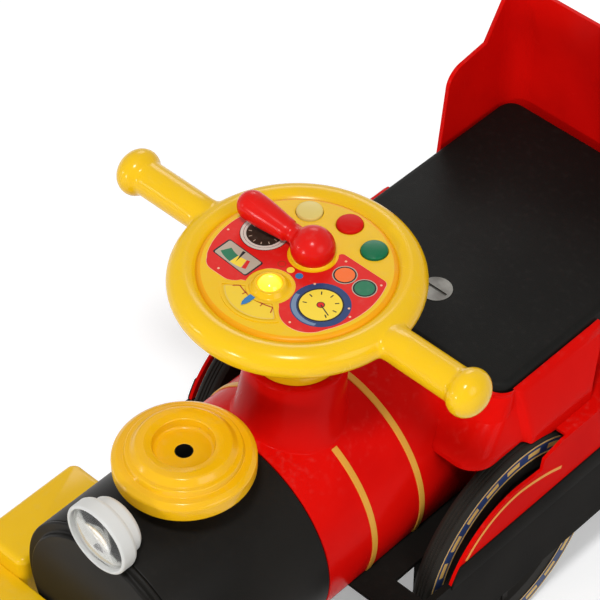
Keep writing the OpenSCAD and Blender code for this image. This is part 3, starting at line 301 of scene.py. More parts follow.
def mix_colour(tree, factor, first, second):
    """The first colour where factor is 0 and the second where it is 1. A colour may be a socket."""
    node = tree.nodes.new("ShaderNodeMix")
    node.data_type = "RGBA"
    tree.links.new(factor, node.inputs[0])
    for k, colour in ((6, first), (7, second)):
        if isinstance(colour, tuple):
            node.inputs[k].default_value = (*colour, 1)
        else:
            tree.links.new(colour, node.inputs[k])
    return node.outputs[2]


def place_group(tree, group, **values):
    node = tree.nodes.new("ShaderNodeGroup")
    node.node_tree = group
    for label, value in values.items():
        node.inputs[label.replace("_", " ")].default_value = value
    return node


def moulded_plastic(
    name, colour, shade, roughness, grain_scale=900, grain_depth=0.06, rub=1.0, dust=0.05, sheen=0.14,
):
    """Moulded plastic in two close tones, with faint rub marks, a little dust and a fine mould grain."""
    material, tree, shader = new_material(name)
    shader.inputs["Specular IOR Level"].default_value = sheen
    skin = place_group(
        tree, MOULD_SKIN, Grain_Scale=grain_scale, Grain_Depth=grain_depth, Rub_Amount=rub,
    )
    toned = mix_colour(tree, skin.outputs["Tone"], colour, shade)
    dust_mask = math_node(tree, "MULTIPLY", skin.outputs["Dust"], dust)
    tree.links.new(mix_colour(tree, dust_mask, toned, DUST_TONE), shader.inputs["Base Color"])
    dull = math_node(tree, "MULTIPLY", skin.outputs["Rub"], RUB_DULLS)
    uneven = math_node(tree, "MULTIPLY_ADD", skin.outputs["Tone"], SHADE_DULLS)
    uneven.node.inputs[2].default_value = roughness
    tree.links.new(math_node(tree, "ADD", uneven, dull), shader.inputs["Roughness"])
    tree.links.new(skin.outputs["Normal"], shader.inputs["Normal"])
    return material


def plated_metal(name, colour, shade, roughness):
    """Plated or turned metal with fine brushing and dull patches."""
    material, tree, shader = new_material(name)
    skin = place_group(tree, MOULD_SKIN, Grain_Scale=1600, Grain_Depth=0.08, Tone_Scale=60)
    tree.links.new(mix_colour(tree, skin.outputs["Tone"], colour, shade), shader.inputs["Base Color"])
    shader.inputs["Metallic"].default_value = 1
    uneven = math_node(tree, "MULTIPLY_ADD", skin.outputs["Tone"], METAL_SHADE_DULLS)
    uneven.node.inputs[2].default_value = roughness
    tree.links.new(uneven, shader.inputs["Roughness"])
    tree.links.new(skin.outputs["Normal"], shader.inputs["Normal"])
    return material


def lit_lens(name, centre, radius, core, edge, strength):
    """A lit lens, brightest over its bulb."""
    material, tree, shader = new_material(name)
    coords = tree.nodes.new("ShaderNodeTexCoord").outputs["Object"]
    away = tree.nodes.new("ShaderNodeVectorMath")
    away.operation = "DISTANCE"
    away.inputs[1].default_value = centre
    tree.links.new(coords, away.inputs[0])
    mask = ramp_node(tree, away.outputs["Value"], 0.15 * radius, radius)
    colour = mix_colour(tree, mask, core, edge)
    tree.links.new(colour, shader.inputs["Base Color"])
    tree.links.new(colour, shader.inputs["Emission Color"])
    shader.inputs["Emission Strength"].default_value = strength
    shader.inputs["Roughness"].default_value = 0.12
    return material


def clear_plastic(name):
    """Clear moulded lens with a faint haze in its face."""
    material, tree, shader = new_material(name)
    coords = tree.nodes.new("ShaderNodeTexCoord").outputs["Object"]
    haze = noise_node(tree, coords, 3, 90)
    bump = tree.nodes.new("ShaderNodeBump")
    bump.inputs["Strength"].default_value = 0.15
    bump.inputs["Distance"].default_value = 0.001
    tree.links.new(haze.outputs["Fac"], bump.inputs["Height"])
    tree.links.new(bump.outputs["Normal"], shader.inputs["Normal"])
    shader.inputs["Base Color"].default_value = (0.97, 0.97, 0.95, 1)
    shader.inputs["Transmission Weight"].default_value = 1
    shader.inputs["Roughness"].default_value = 0.06
    shader.inputs["IOR"].default_value = 1.46
    return material


YELLOW = moulded_plastic("yellow_gloss", (0.80, 0.485, 0.006), (0.76, 0.45, 0.005), 0.17, sheen=0.2)
# A deeper, more orange copy of the yellow. On the steering bowl under the ring it is painted shade; the
# chimney uses the same colour
DEEP_YELLOW_AND_SHADE = moulded_plastic("deep_yellow_and_painted_shade_gloss", (0.79, 0.43, 0.004), (0.75, 0.40, 0.004), 0.15, sheen=0.25)
# A deeper orange copy of the yellow for the dash's rim: painted shade for the groove between the ring and the
# dash
PAINTED_GROOVE_SHADE = moulded_plastic("painted_groove_shade_yellow", (0.82, 0.36, 0.005), (0.76, 0.32, 0.004), 0.3)
RED = moulded_plastic("red_gloss", (0.66, 0.004, 0.002), (0.58, 0.003, 0.002), 0.2, sheen=0.03)
BODY_RED = moulded_plastic("body_red", (0.66, 0.004, 0.002), (0.58, 0.003, 0.002), 0.3, sheen=0.006)
LEVER_RED = moulded_plastic("lever_red_gloss", (0.66, 0.008, 0.005), (0.60, 0.006, 0.004), 0.2)
BLACK = moulded_plastic(
    "black_moulding", (0.0115, 0.0105, 0.0092), (0.0085, 0.0078, 0.007), 0.36, dust=0.006, sheen=0.008,
)
SMOKE_BLACK = moulded_plastic(
    "smoke_black", (0.0115, 0.0105, 0.0092), (0.0085, 0.0078, 0.007), 0.34, dust=0.006, sheen=0.05,
)
SEAT_BLACK = moulded_plastic(
    "seat_black", (0.0048, 0.0048, 0.004), (0.0038, 0.0038, 0.0032), 0.55,
    grain_scale=1100, grain_depth=0.45, rub=0.5, dust=0.01, sheen=0.09,
)
WHEEL_BLACK = moulded_plastic(
    "wheel_black", (0.020, 0.018, 0.015), (0.014, 0.0125, 0.011), 0.5,
    grain_scale=700, grain_depth=0.2, dust=0.02, sheen=0.07,
)
GOLD = moulded_plastic("gold_paint", (0.72, 0.36, 0.05), (0.62, 0.29, 0.035), 0.34)
STRIPE_GOLD = moulded_plastic("stripe_gold", (0.76, 0.29, 0.03), (0.70, 0.26, 0.025), 0.34)
STEEL = plated_metal("zinc_steel", (0.62, 0.62, 0.62), (0.48, 0.48, 0.49), 0.3)
DULL_ZINC = plated_metal("dull_zinc", (0.17, 0.165, 0.15), (0.12, 0.115, 0.105), 0.46)
BRASS = plated_metal("brass", (0.78, 0.56, 0.2), (0.66, 0.45, 0.15), 0.3)
SILVER = moulded_plastic("silver_paint", (0.62, 0.62, 0.60), (0.54, 0.54, 0.52), 0.3)
NYLON = moulded_plastic("natural_nylon", (0.78, 0.76, 0.68), (0.70, 0.68, 0.60), 0.5)
GREY = moulded_plastic("gearbox_grey", (0.075, 0.08, 0.085), (0.055, 0.06, 0.065), 0.5)
BATTERY = moulded_plastic("battery_case", (0.045, 0.05, 0.06), (0.035, 0.04, 0.05), 0.5)
BOARD = moulded_plastic("board_green", (0.014, 0.15, 0.055), (0.01, 0.12, 0.04), 0.4)
CLEAR = clear_plastic("clear_lens")
# Each ink: its colour, its shade and its roughness
INK_TONES = {
    "red": ((0.66, 0.012, 0.008), (0.62, 0.010, 0.007), 0.28),
    "dark_red": ((0.42, 0.035, 0.010), (0.38, 0.030, 0.008), 0.3),
    "blue": ((0.022, 0.05, 0.15), (0.018, 0.042, 0.13), 0.3),
    "steel_blue": ((0.03, 0.18, 0.42), (0.026, 0.16, 0.38), 0.3),
    "pale_blue": ((0.17, 0.24, 0.36), (0.14, 0.21, 0.32), 0.3),
    "beige": ((0.46, 0.38, 0.29), (0.42, 0.34, 0.26), 0.3),
    "dial": ((0.035, 0.022, 0.015), (0.030, 0.018, 0.012), 0.3),
    "pale": ((0.80, 0.46, 0.30), (0.75, 0.42, 0.27), 0.3),
    "sector": ((0.80, 0.55, 0.035), (0.76, 0.51, 0.03), 0.3),
    "yellow": ((0.86, 0.63, 0.05), (0.82, 0.58, 0.04), 0.3),
    "white": ((0.82, 0.80, 0.72), (0.76, 0.74, 0.66), 0.3),
    "black": ((0.012, 0.012, 0.014), (0.010, 0.010, 0.012), 0.3),
    "silver": ((0.64, 0.58, 0.51), (0.58, 0.52, 0.45), 0.25),
    "green": ((0.022, 0.17, 0.085), (0.018, 0.15, 0.07), 0.3),
    "orange": ((0.84, 0.16, 0.03), (0.78, 0.14, 0.025), 0.3),
    "gold": ((0.70, 0.46, 0.14), (0.62, 0.40, 0.11), 0.3),
}
INK_RUB = 0.4
INK = {
    name: moulded_plastic("ink_" + name, colour, shade, roughness, rub=INK_RUB)
    for name, (colour, shade, roughness) in INK_TONES.items()
}
BUTTON_CREAM = moulded_plastic("button_cream", (0.70, 0.56, 0.17), (0.66, 0.52, 0.15), 0.22)
BUTTON_RED = moulded_plastic("button_red", (0.62, 0.008, 0.005), (0.56, 0.006, 0.004), 0.22, sheen=0.05)
BUTTON_GREEN = moulded_plastic("button_green", (0.004, 0.15, 0.06), (0.003, 0.125, 0.05), 0.22)


# Mesh helpers, all in millimetres until add_piece

def fillet_path(points, steps=6):
    """A path of (a, b) points whose corners with a third value are rounded to that radius."""
    path = []
    for k, point in enumerate(points):
        here = Vector(point[:2])
        if len(point) < 3:
            path.append(tuple(here))
            continue
        back = (Vector(points[k - 1][:2]) - here).normalized()
        ahead = (Vector(points[(k + 1) % len(points)][:2]) - here).normalized()
        half = back.angle(ahead) / 2
        centre = here + (back + ahead).normalized() * point[2] / math.sin(half)
        reach = point[2] / math.tan(half)
        first = here + back * reach - centre
        last = here + ahead * reach - centre
        start = math.atan2(first.y, first.x)
        sweep = math.remainder(math.atan2(last.y, last.x) - start, 2 * math.pi)
        for step in range(steps + 1):
            angle = start + sweep * step / steps
            path.append((centre.x + point[2] * math.cos(angle), centre.y + point[2] * math.sin(angle)))
    return path


def arc_path(centre, radius, start, end, steps=12):
    """Points on an arc, with its angles in degrees."""
    angles = [math.radians(start + (end - start) * k / steps) for k in range(steps + 1)]
    return [(centre[0] + radius * math.cos(a), centre[1] + radius * math.sin(a)) for a in angles]


def turned(profile, steps=96, closed=False):
    """A solid of revolution about Z from (radius, height) points."""
    bm = bmesh.new()
    verts = [bm.verts.new((r, 0, z)) for r, z in profile]
    ends = verts[1:] + verts[:1] if closed else verts[1:]
    edges = [bm.edges.new(pair) for pair in zip(verts, ends)]
    bmesh.ops.spin(
        bm, geom=verts + edges, cent=(0, 0, 0), axis=(0, 0, 1), angle=2 * math.pi, steps=steps,
        use_merge=True,
    )
    bmesh.ops.remove_doubles(bm, verts=bm.verts, dist=1e-4)
    bmesh.ops.recalc_face_normals(bm, faces=bm.faces)
    return bm


def slab(outline, low, high, holes=(), edge=0):
    """A plate from a plan outline with holes, with its upper edges rounded by edge."""
    bm = bmesh.new()
    loops = []
    for ring in (outline, *holes):
        verts = [bm.verts.new((x, y, high)) for x, y in ring]
        loops += [bm.edges.new(pair) for pair in zip(verts, verts[1:] + verts[:1])]
    bmesh.ops.triangle_fill(bm, use_beauty=True, use_dissolve=False, edges=loops)
    made = bmesh.ops.extrude_face_region(bm, geom=list(bm.faces))
    moved = [v for v in made["geom"] if isinstance(v, bmesh.types.BMVert)]
    bmesh.ops.translate(bm, vec=(0, 0, low - high), verts=moved)
    bmesh.ops.recalc_face_normals(bm, faces=bm.faces)
    if edge:
        rims = [e for e in bm.edges if all(abs(v.co.z - high) < 1e-6 for v in e.verts)
                and len(e.link_faces) == 2 and e.calc_face_angle() > 1]
        bmesh.ops.bevel(
            bm, geom=rims, offset=edge, offset_type="OFFSET", segments=3, profile=0.5,
            affect="EDGES", material=-1, clamp_overlap=True,
        )
    return bm


def placed(bm, place=(0, 0, 0), turn=None):
    """The mesh turned by a matrix and moved to its place."""
    matrix = Matrix.Translation(place)
    if turn is not None:
        matrix = matrix @ turn
    bmesh.ops.transform(bm, matrix=matrix, verts=bm.verts)
    return bm


def joined(*parts):
    """Several meshes as one."""
    whole = bmesh.new()
    for part in parts:
        mesh = bpy.data.meshes.new("part")
        part.to_mesh(mesh)
        part.free()
        whole.from_mesh(mesh)
        bpy.data.meshes.remove(mesh)
    return whole


SOFT_ANGLE = 32
ALONG_X = Matrix.Rotation(math.pi / 2, 4, "Y")
ALONG_FRONT = Matrix.Rotation(math.pi / 2, 4, "X")
MIRROR_X = Matrix.Scale(-1, 4, (1, 0, 0))


def mirrored(bm):
    """The mesh flipped to the other side, with its faces still outwards."""
    bmesh.ops.transform(bm, matrix=MIRROR_X, verts=bm.verts)
    bmesh.ops.reverse_faces(bm, faces=bm.faces)
    return bm


def cut_away(bm, place, normal):
    """Takes away what lies behind a plane."""
    bmesh.ops.bisect_plane(
        bm, geom=bm.verts[:] + bm.edges[:] + bm.faces[:], plane_co=place, plane_no=normal, clear_inner=True,
    )


def close_holes(bm):
    bmesh.ops.holes_fill(bm, edges=[edge for edge in bm.edges if edge.is_boundary])


def lofted(sections, around=False):
    """A skin over closed sections with equally many points. It may go around from the last to the first."""
    bm = bmesh.new()
    rims = [[bm.verts.new(point) for point in points] for points in sections]
    following = rims[1:] + rims[:1] if around else rims[1:]
    for rim, after in zip(rims, following):
        for k in range(len(rim)):
            bm.faces.new((rim[k - 1], after[k - 1], after[k], rim[k]))
    return bm


def circle_points(radius, centre=(0, 0), steps=48):
    return arc_path(centre, radius, 0, 360, steps)[:-1]


def add_piece(name, bm, body, material, replaces=(), sharp=35):
    """A shown piece from a mesh in millimetres, riding a body of the frame."""
    bmesh.ops.transform(bm, matrix=Matrix.Scale(MM, 4), verts=bm.verts)
    bmesh.ops.recalc_face_normals(bm, faces=bm.faces)
    mesh = bpy.data.meshes.new(name)
    bm.to_mesh(mesh)
    bm.free()
    return dress(name, mesh, body, material, replaces, sharp)


def dress(name, mesh, body, material, replaces=(), sharp=35):
    mesh.materials.clear()
    mesh.materials.append(material)
    mesh.shade_smooth()
    mesh.set_sharp_from_angle(angle=math.radians(sharp))
    piece = bpy.data.objects.new(name, mesh)
    bpy.context.scene.collection.objects.link(piece)
    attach(piece, body)
    if replaces:
        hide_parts(*replaces)
    return piece


def modifier(piece, kind, **values):
    made = piece.modifiers.new(kind.lower(), kind)
    for label, value in values.items():
        setattr(made, label, value)


def softened(node, material, width):
    """A copy of a solid's mesh with rounded edges."""
    bm = bmesh.new()
    bm.from_mesh(NODES[node].data)
    bmesh.ops.remove_doubles(bm, verts=bm.verts, dist=1e-6)
    bmesh.ops.dissolve_limit(
        bm, angle_limit=math.radians(0.6), use_dissolve_boundaries=False, verts=bm.verts, edges=bm.edges,
    )
    name = node + "_skin"
    mesh = bpy.data.meshes.new(name)
    bm.to_mesh(mesh)
    bm.free()
    piece = dress(name, mesh, NODES[node]["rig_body"], material, (node,), SOFT_ANGLE)
    modifier(
        piece, "BEVEL", width=width * MM, segments=3, limit_method="ANGLE",
        angle_limit=math.radians(SOFT_ANGLE), harden_normals=True, use_clamp_overlap=True,
    )


# Steering wheel

STEER_X, STEER_Y, STEER_Z = STEER / MM
RING_R = 84.3
TUBE_R = 13.2
HANDLE_R = 14.5
BALL_X = 168
BALL_R = 19.5
BALL_HALF = 15
FLARE_X = 105
FLARE_LEN = 12
FLARE_W = 2.5
SINK_X = 110
SINK_LEN = 18
SINK_PART = 0.2
DASH_R = 75.6
DASH_Z = DASH_TOP / MM
DASH_LOW = DASH_Z - 8
COLLAR_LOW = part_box("steering_wheel")[0].z / MM
COLLAR_R = 35
BOWL_R = 64
BOWL_SEAT_R = 70


def handle_shape():
    """A side handle along +X that widens in plan where it meets the ring."""
    crease = math.degrees(math.asin(HANDLE_R / BALL_R))
    ball = [
        (BALL_R * math.sin(math.radians(a)), BALL_X - BALL_HALF * math.cos(math.radians(a)))
        for a in [crease + (180 - crease) * k / 24 for k in range(25)]
    ]
    grip = [(HANDLE_R, RING_R + (ball[0][1] - RING_R) * k / 30) for k in range(30)]
    bm = placed(turned([(0, RING_R), *grip, *ball], 64), turn=ALONG_X)
    for vert in bm.verts:
        near = min(max((FLARE_X - vert.co.x) / FLARE_LEN, 0), 1)
        sunk = min(max((SINK_X - vert.co.x) / SINK_LEN, 0), 1)
        vert.co.y *= 1 + FLARE_W / HANDLE_R * near ** 2.6
        vert.co.z *= 1 - SINK_PART * sunk ** 2
    return bm


def make_steering_ring():
    tube = [(RING_R + x, z) for x, z in circle_points(TUBE_R, steps=40)]
    whole = joined(turned(tube, 144, closed=True), handle_shape(), mirrored(handle_shape()))
    whole = placed(whole, (STEER_X, STEER_Y, STEER_Z))
    ring = add_piece("steering_ring", whole, "steering", YELLOW, ("steering_wheel",), 80)
    modifier(ring, "REMESH", mode="VOXEL", voxel_size=1.3 * MM, use_smooth_shade=True)
    modifier(ring, "SMOOTH", factor=0.5, iterations=10)


def steering_piece(name, bm, material, replaces=(), sharp=35):
    """A piece drawn about the steering axis, which turns with the wheel."""
    add_piece(name, placed(bm, (STEER_X, STEER_Y, 0)), "steering", material, replaces, sharp)


def make_bowl():
    seat_z, floor_z = DASH_LOW + 1, DASH_LOW - 6
    profile = fillet_path([
        (0, COLLAR_LOW), (COLLAR_R, COLLAR_LOW, 1.5), (COLLAR_R, COLLAR_LOW + 18, 8),
        (COLLAR_R + 5, COLLAR_LOW + 30, 8), (BOWL_R, STEER_Z - 22, 10), (RING_R, STEER_Z - TUBE_R + 1),
        (RING_R, seat_z), (BOWL_SEAT_R, seat_z), (BOWL_SEAT_R - 10, floor_z), (0, floor_z),
    ])
    # The bowl under the ring takes the deeper yellow as painted shade
    steering_piece("steering_bowl", turned(profile), DEEP_YELLOW_AND_SHADE, ("steering_wheel",))


make_steering_ring()
make_bowl()


# Dash panel with its lever, lamp and buttons

LEVER_Y = LEVER.y / MM - STEER_Y
LEVER_BALL_R = 17
LEVER_NECK_R = 7.2
LEVER_END_R = 11.9
LEVER_REACH = 57.6
LEVER_TURN = 186
LEVER_LEAN = 80
LAMP_Y = -29
LAMP_R = 9.6
MOUND_R = 16
DASH_EDGE = 4
BUTTON_R = 10.3
BUTTON_GAP = 0.5
BUTTON_RISE = 2.6
BUTTON_RING = 59.5
BUTTONS = (("cream", 124.5, BUTTON_CREAM), ("red", 92, BUTTON_RED), ("green", 59.5, BUTTON_GREEN))
SECTOR_R = 37
SECTOR_HALF = 54
SECTOR_BEAD = 1.6


def button_place(angle):
    turn = math.radians(angle)
    return BUTTON_RING * math.cos(turn), BUTTON_RING * math.sin(turn)


def dash_plate():
    """The plate's face with holes for the buttons and the lamp, and its rounded edge."""
    holes = [circle_points(BUTTON_R + BUTTON_GAP, button_place(angle)) for name, angle, tint in BUTTONS]
    holes.append(circle_points(LAMP_R, (0, LAMP_Y)))
    flat_r, edge_z = DASH_R - DASH_EDGE, DASH_Z - DASH_EDGE
    top = slab(circle_points(flat_r, steps=144), edge_z, DASH_Z, holes)
    edge = arc_path((flat_r, edge_z), DASH_EDGE, 90, 0, 8)
    rim = turned([*edge, (DASH_R, DASH_LOW), (DASH_R - 6, DASH_LOW)], 144, True)
    return top, rim


def dash_ring(points):
    """A raised ring from (radius, height over the dash face) points."""
    profile = [(radius, DASH_Z + height, *bend) for radius, height, *bend in points]
    return turned(fillet_path(profile), 72, True)


def hole_lip(place):
    """The rounded lip of a button's hole."""
    bore = BUTTON_R + BUTTON_GAP - 0.1
    bead = arc_path((bore + 0.6, DASH_Z - 0.6), 0.7, 180, 60, 5)
    lip = turned([(bore, DASH_Z - DASH_EDGE), (bore, DASH_Z - 0.5), *bead], 48, True)
    return placed(lip, (*place, 0))


def sector_ridge():
    """A raised bead round the dial below the lamp."""
    middle = (0, LAMP_Y)
    start, end = -90 - SECTOR_HALF, -90 + SECTOR_HALF
    outer = arc_path(middle, SECTOR_R, start, end, 32) + arc_path(middle, MOUND_R, end, start, 16)
    hole = arc_path(middle, SECTOR_R - SECTOR_BEAD, start + 2.4, end - 2.4, 32)
    hole += arc_path(middle, MOUND_R + 2, end - 5, start + 5, 16)
    return slab(outer, DASH_Z - 0.2, DASH_Z + 0.7, [hole], 0.45)


def make_dash():
    plate, rim = dash_plate()
    lever_seat = dash_ring([(13, 0), (14.4, 1.6, 0.4), (15.2, 2.2, 0.4), (16.4, 1.7, 0.7), (17.3, -0.2)])
    mound = dash_ring([(LAMP_R, -6), (LAMP_R, 4.2, 0.5), (11.8, 4.2, 1.6), (14.2, 0.8, 2), (MOUND_R, -0.1)])
    lips = [hole_lip(button_place(angle)) for name, angle, tint in BUTTONS]
    whole = joined(
        plate, placed(lever_seat, (0, LEVER_Y, 0)), placed(mound, (0, LAMP_Y, 0)), sector_ridge(), *lips,
    )
    # The dash's rim is painted in the deeper orange of the groove's shade
    steering_piece("dash_rim", rim, PAINTED_GROOVE_SHADE, ("dash_panel",))
    steering_piece("dash_face", whole, YELLOW, ("dash_panel",), 40)


def lever_profile():
    """Ball, neck, club and round end, as (radius, distance from the ball's middle)."""
    neck_at = math.sqrt(LEVER_BALL_R ** 2 - LEVER_NECK_R ** 2)
    neck_angle = math.degrees(math.asin(LEVER_NECK_R / LEVER_BALL_R)) + 7
    ball = [(y, x) for x, y in arc_path((0, 0), LEVER_BALL_R, 180, neck_angle, 40)]
    shoulder, foot = LEVER_NECK_R + 1.7, neck_at + 8
    neck = [
        (LEVER_NECK_R + 0.8, neck_at + 0.4), (LEVER_NECK_R, neck_at + 2.2), (LEVER_NECK_R, neck_at + 6),
        (shoulder - 0.3, neck_at + 7.2),
    ]
    club = []
    for step in range(15):
        grown = math.sin(math.pi / 2 * step / 14) ** 1.2
        radius = shoulder + (LEVER_END_R - shoulder) * grown
        club.append((radius, foot + (LEVER_REACH - foot) * step / 14))
    tip = arc_path((0, LEVER_REACH), LEVER_END_R, 6, 90, 14)
    return [(max(radius, 0), z) for radius, z in ball + neck + club + tip]


def make_lever():
    turn = Matrix.Rotation(math.radians(LEVER_TURN), 4, "Z")
    lean = Matrix.Rotation(math.radians(LEVER_LEAN), 4, "Y")
    shape = placed(turned(lever_profile(), 72), LEVER / MM, turn @ lean)
    cut_away(shape, (0, 0, DASH_Z + 0.6), (0, 0, 1))
    close_holes(shape)
    add_piece("lever_handle", shape, "lever", LEVER_RED, ("lever",), 50)


def make_buttons():
    top, foot = DASH_Z + BUTTON_RISE, DASH_LOW - 2
    for name, angle, tint in BUTTONS:
        side = fillet_path([(0, top), (5, top - 0.05), (BUTTON_R, top - 0.5, 1.4), (BUTTON_R, foot)], 8)
        x, y = button_place(angle)
        cap = placed(turned([*side, (0, foot)], 64), (STEER_X + x, STEER_Y + y, 0))
        node = "button_" + name
        add_piece(node + "_cap", cap, node, tint, (node,))


def make_lamp():
    low, top = DASH_Z + 1, DASH_Z + 4
    dome = arc_path((0, top - 5.2), 10.6, 90, 27, 14)
    lens = turned([*dome, (LAMP_R - 0.1, low), (0, low)], 64)
    bulb = Vector((STEER_X, STEER_Y + LAMP_Y, top + 4)) * MM
    glow = lit_lens("amber_lens_lit", bulb, 11 * MM, (1, 0.80, 0.05), (0.98, 0.50, 0.012), 0.8)
    steering_piece("lamp_dome", placed(lens, (0, LAMP_Y, 0)), glow, ("lamp_lens",))


make_dash()
make_lever()
make_buttons()
make_lamp()


# Prints on the dash, one thin piece for each ink

LABEL_Z = DASH_Z + 0.4
LAYER = 0.06
LABEL_R = 68
GAUGE = (40.2, -17.5)
GAUGE_R = 15.9
GAUGE_RING_R = 22.5
DIAL = (-41.8, 9.0)
DIAL_R = 18.9
SPOT_R = 7.5
SPOT_LINE_R = 8.7
SPOT_EDGE_R = 9.4
ORANGE_SPOT = (31.9, 17.3)
GREEN_SPOT = (51.8, 17.0)
METER = fillet_path([(-56.7, -31.8, 1.8), (-20.2, -34.0, 1.8), (-19.9, -14.9, 1.8), (-56.5, -13.6, 1.8)], 4)
METER_PIVOT = (-37.6, 2.2)
METER_R = 28.6
METER_BAND = 8.7
SCALE_CENTRE = (0, -2)
SCALE_R = 44.5
RIVET_R = 0.95
RIVETS = [
    (-64.3, -7.2), (-40.5, -41.5), (22.8, 28.3), (58.6, 27.7), (22.2, -4.7), (57.5, -6), (63.8, -11.8),
    (35.9, -45.6),
]
DOT_R = 3


def bar(start, end, width):
    """A straight stroke as a plan outline."""
    along = Vector(end) - Vector(start)
    side = Vector((-along.y, along.x)).normalized() * width / 2
    corners = (Vector(start) + side, Vector(start) - side, Vector(end) - side, Vector(end) + side)
    return [tuple(corner) for corner in corners]


def arc_bar(centre, radius, start, end, width, steps=24):
    """A curved stroke as a plan outline."""
    outer = arc_path(centre, radius + width / 2, start, end, steps)
    return outer + arc_path(centre, radius - width / 2, end, start, steps)


def label_outline():
    """Two lobes, joined between the lever's seat and the lamp."""
    right = fillet_path([(17, 33), (60, 33, 5), (63.2, 25.2)])
    right += arc_path((0, 0), LABEL_R, 20, -28, 24)
    right += arc_path((37.8, -26.8), 22.4, -30, -145, 24)
    below = arc_path((0, LAMP_Y), 18.9, -26, 204, 40)
    left = arc_path((-32, -32.4), 13, -27, -90, 8) + arc_path((-44, -32.9), 12.5, -90, -152, 8)
    left += arc_path((0, 0), LABEL_R, 212, 160, 24) + fillet_path([(-63.2, 25.2), (-60, 33, 5), (-17, 33)])
    above = [(-15.2, 32), *arc_path((0, LEVER_Y), 19.2, 138, 402, 48), (15.2, 32)]
    return right + below + left + above


def disc(place, radius, steps=48):
    return circle_points(radius, place, steps)


def ring(place, outer, inner):
    return disc(place, outer), disc(place, inner)


def shrunk(points, amount):
    """The outline drawn in towards its middle by about that amount."""
    middle = sum((Vector(p) for p in points), Vector((0, 0))) / len(points)
    return [tuple(Vector(p) + (middle - Vector(p)).normalized() * amount) for p in points]


def gauge_ticks(centre, radius, angles, length, width):
    spokes = []
    for angle in angles:
        out = Vector((math.cos(math.radians(angle)), math.sin(math.radians(angle))))
        spokes.append(bar(Vector(centre) + out * (radius - length), Vector(centre) + out * radius, width))
    return spokes


def sector_scale():
    """The curved scale below the lamp, with a stroke at each end and two ticks."""
    scale = [arc_bar(SCALE_CENTRE, SCALE_R, -112, -68, 0.9)]
    scale += [bar((-16.7, -43.3), (-20.4, -47.2), 0.9), bar((16.7, -43.3), (19.2, -48.4), 0.9)]
    scale += gauge_ticks(SCALE_CENTRE, SCALE_R + 3.1, (-101, -79), 3.4, 0.8)
    return scale


def gauge_shine():
    """A crescent of light in the gauge's ring."""
    inner = (GAUGE[0] + 1.2, GAUGE[1] + 1.6)
    return arc_path(GAUGE, GAUGE_RING_R - 0.9, 190, 300, 24) + arc_path(inner, 20, 298, 192, 24)


def dash_prints():
    """(name, ink, layer, outlines). An outline may be (outline, hole)."""
    spots = (ORANGE_SPOT, GREEN_SPOT)
    green_band = arc_bar(METER_PIVOT, METER_R, 243.2, 266.2, METER_BAND)
    gold_band = arc_bar(METER_PIVOT, METER_R, 266.9, 285, METER_BAND)
    red_band = arc_bar(METER_PIVOT, METER_R, 285.8, 291.8, METER_BAND)
    needle = [(-40.0, -16.3), (-37.5, -15.8), (-36.0, -28.3)]
    pill = [(-4.5, -45), (-4.5, -51), (-3.7, -54.6), (-1.9, -57.6), (-0.1, -54.6), (0.7, -51), (0.7, -45)]
    lamp = (0, LAMP_Y)
    sector = arc_path(lamp, SECTOR_R - 3, -139, -41, 32) + arc_path(lamp, MOUND_R + 2.6, -43, -137, 16)
    line_r, line_ends = SECTOR_R - 4, (-139, -41)
    return [
        ("print_black", "black", 1, [
            METER, *[ring(spot, SPOT_LINE_R, SPOT_R - 0.3) for spot in spots], disc(GAUGE, GAUGE_R + 1.5),
            ring(DIAL, DIAL_R, 18.4), ring(DIAL, 16.2, 15.9),
        ]),
        ("print_dial", "dial", 1, [disc(DIAL, 14.6)]),
        ("print_silver", "silver", 2, [ring(DIAL, 18.4, 16.2), ring(DIAL, 15.9, 14.0)]),
        ("print_beige", "beige", 2, [
            shrunk(METER, 1.5), *[ring(spot, SPOT_EDGE_R, SPOT_LINE_R) for spot in spots],
        ]),
        ("print_rivets", "pale", 2, [disc(place, RIVET_R, 16) for place in RIVETS]),
        ("print_blue", "blue", 1.5, [ring(GAUGE, GAUGE_RING_R, 17.2)]),
        ("print_shine", "pale_blue", 2, [gauge_shine()]),
        ("print_sector", "sector", 0.5, [sector]),
        ("print_yellow", "yellow", 3, [disc(GAUGE, GAUGE_R), gold_band, disc((-0.5, -6.4), DOT_R)]),
        ("print_orange", "orange", 3, [disc(ORANGE_SPOT, SPOT_R)]),
        ("print_green", "green", 3, [disc(GREEN_SPOT, SPOT_R), green_band]),
        ("print_steel_blue", "steel_blue", 3, [disc((8.3, -6.6), DOT_R)]),
        ("print_pointer", "steel_blue", 9, [pill]),
        ("print_dark_red", "dark_red", 2.5, [ring((-9.6, -6.2), 3.3, 2.6), *sector_scale()]),
        ("print_red", "red", 3.5, [red_band, disc(GAUGE, 2.6)]),
        ("print_ink", "black", 4, [
            bar(GAUGE, (51.6, -21.6), 0.9), needle, ring(GAUGE, 3.1, 2.5),
            *gauge_ticks(GAUGE, 13.6, range(-30, 250, 40), 3.2, 0.9),
        ]),
        ("print_dial_marks", "beige", 2, gauge_ticks(DIAL, 12.4, range(0, 360, 30), 2.4, 0.7)),
        ("print_sector_line", "gold", 1, [
            arc_bar(lamp, line_r, *line_ends, 0.5), *gauge_ticks(lamp, line_r, line_ends, 12, 0.5),
        ]),
    ]


def make_prints():
    label = slab(label_outline(), DASH_Z - 0.1, LABEL_Z)
    steering_piece("dash_sticker", label, INK["red"], ("dash_label",))
    trim = slab(label_outline(), DASH_Z - 0.1, LABEL_Z - 0.15)
    bmesh.ops.transform(trim, matrix=Matrix.Diagonal((1.005, 1.006, 1, 1)), verts=trim.verts)
    steering_piece("dash_sticker_edge", trim, INK["pale"])
    for name, ink, layer, outlines in dash_prints():
        level = LABEL_Z + LAYER * layer
        flats = []
        for item in outlines:
            outline, holes = (item[0], [item[1]]) if isinstance(item, tuple) else (item, [])
            flats.append(slab(outline, level - LAYER, level, holes))
        steering_piece(name, joined(*flats), INK[ink])


make_prints()


# Boiler, smokebox, chimney and headlamp

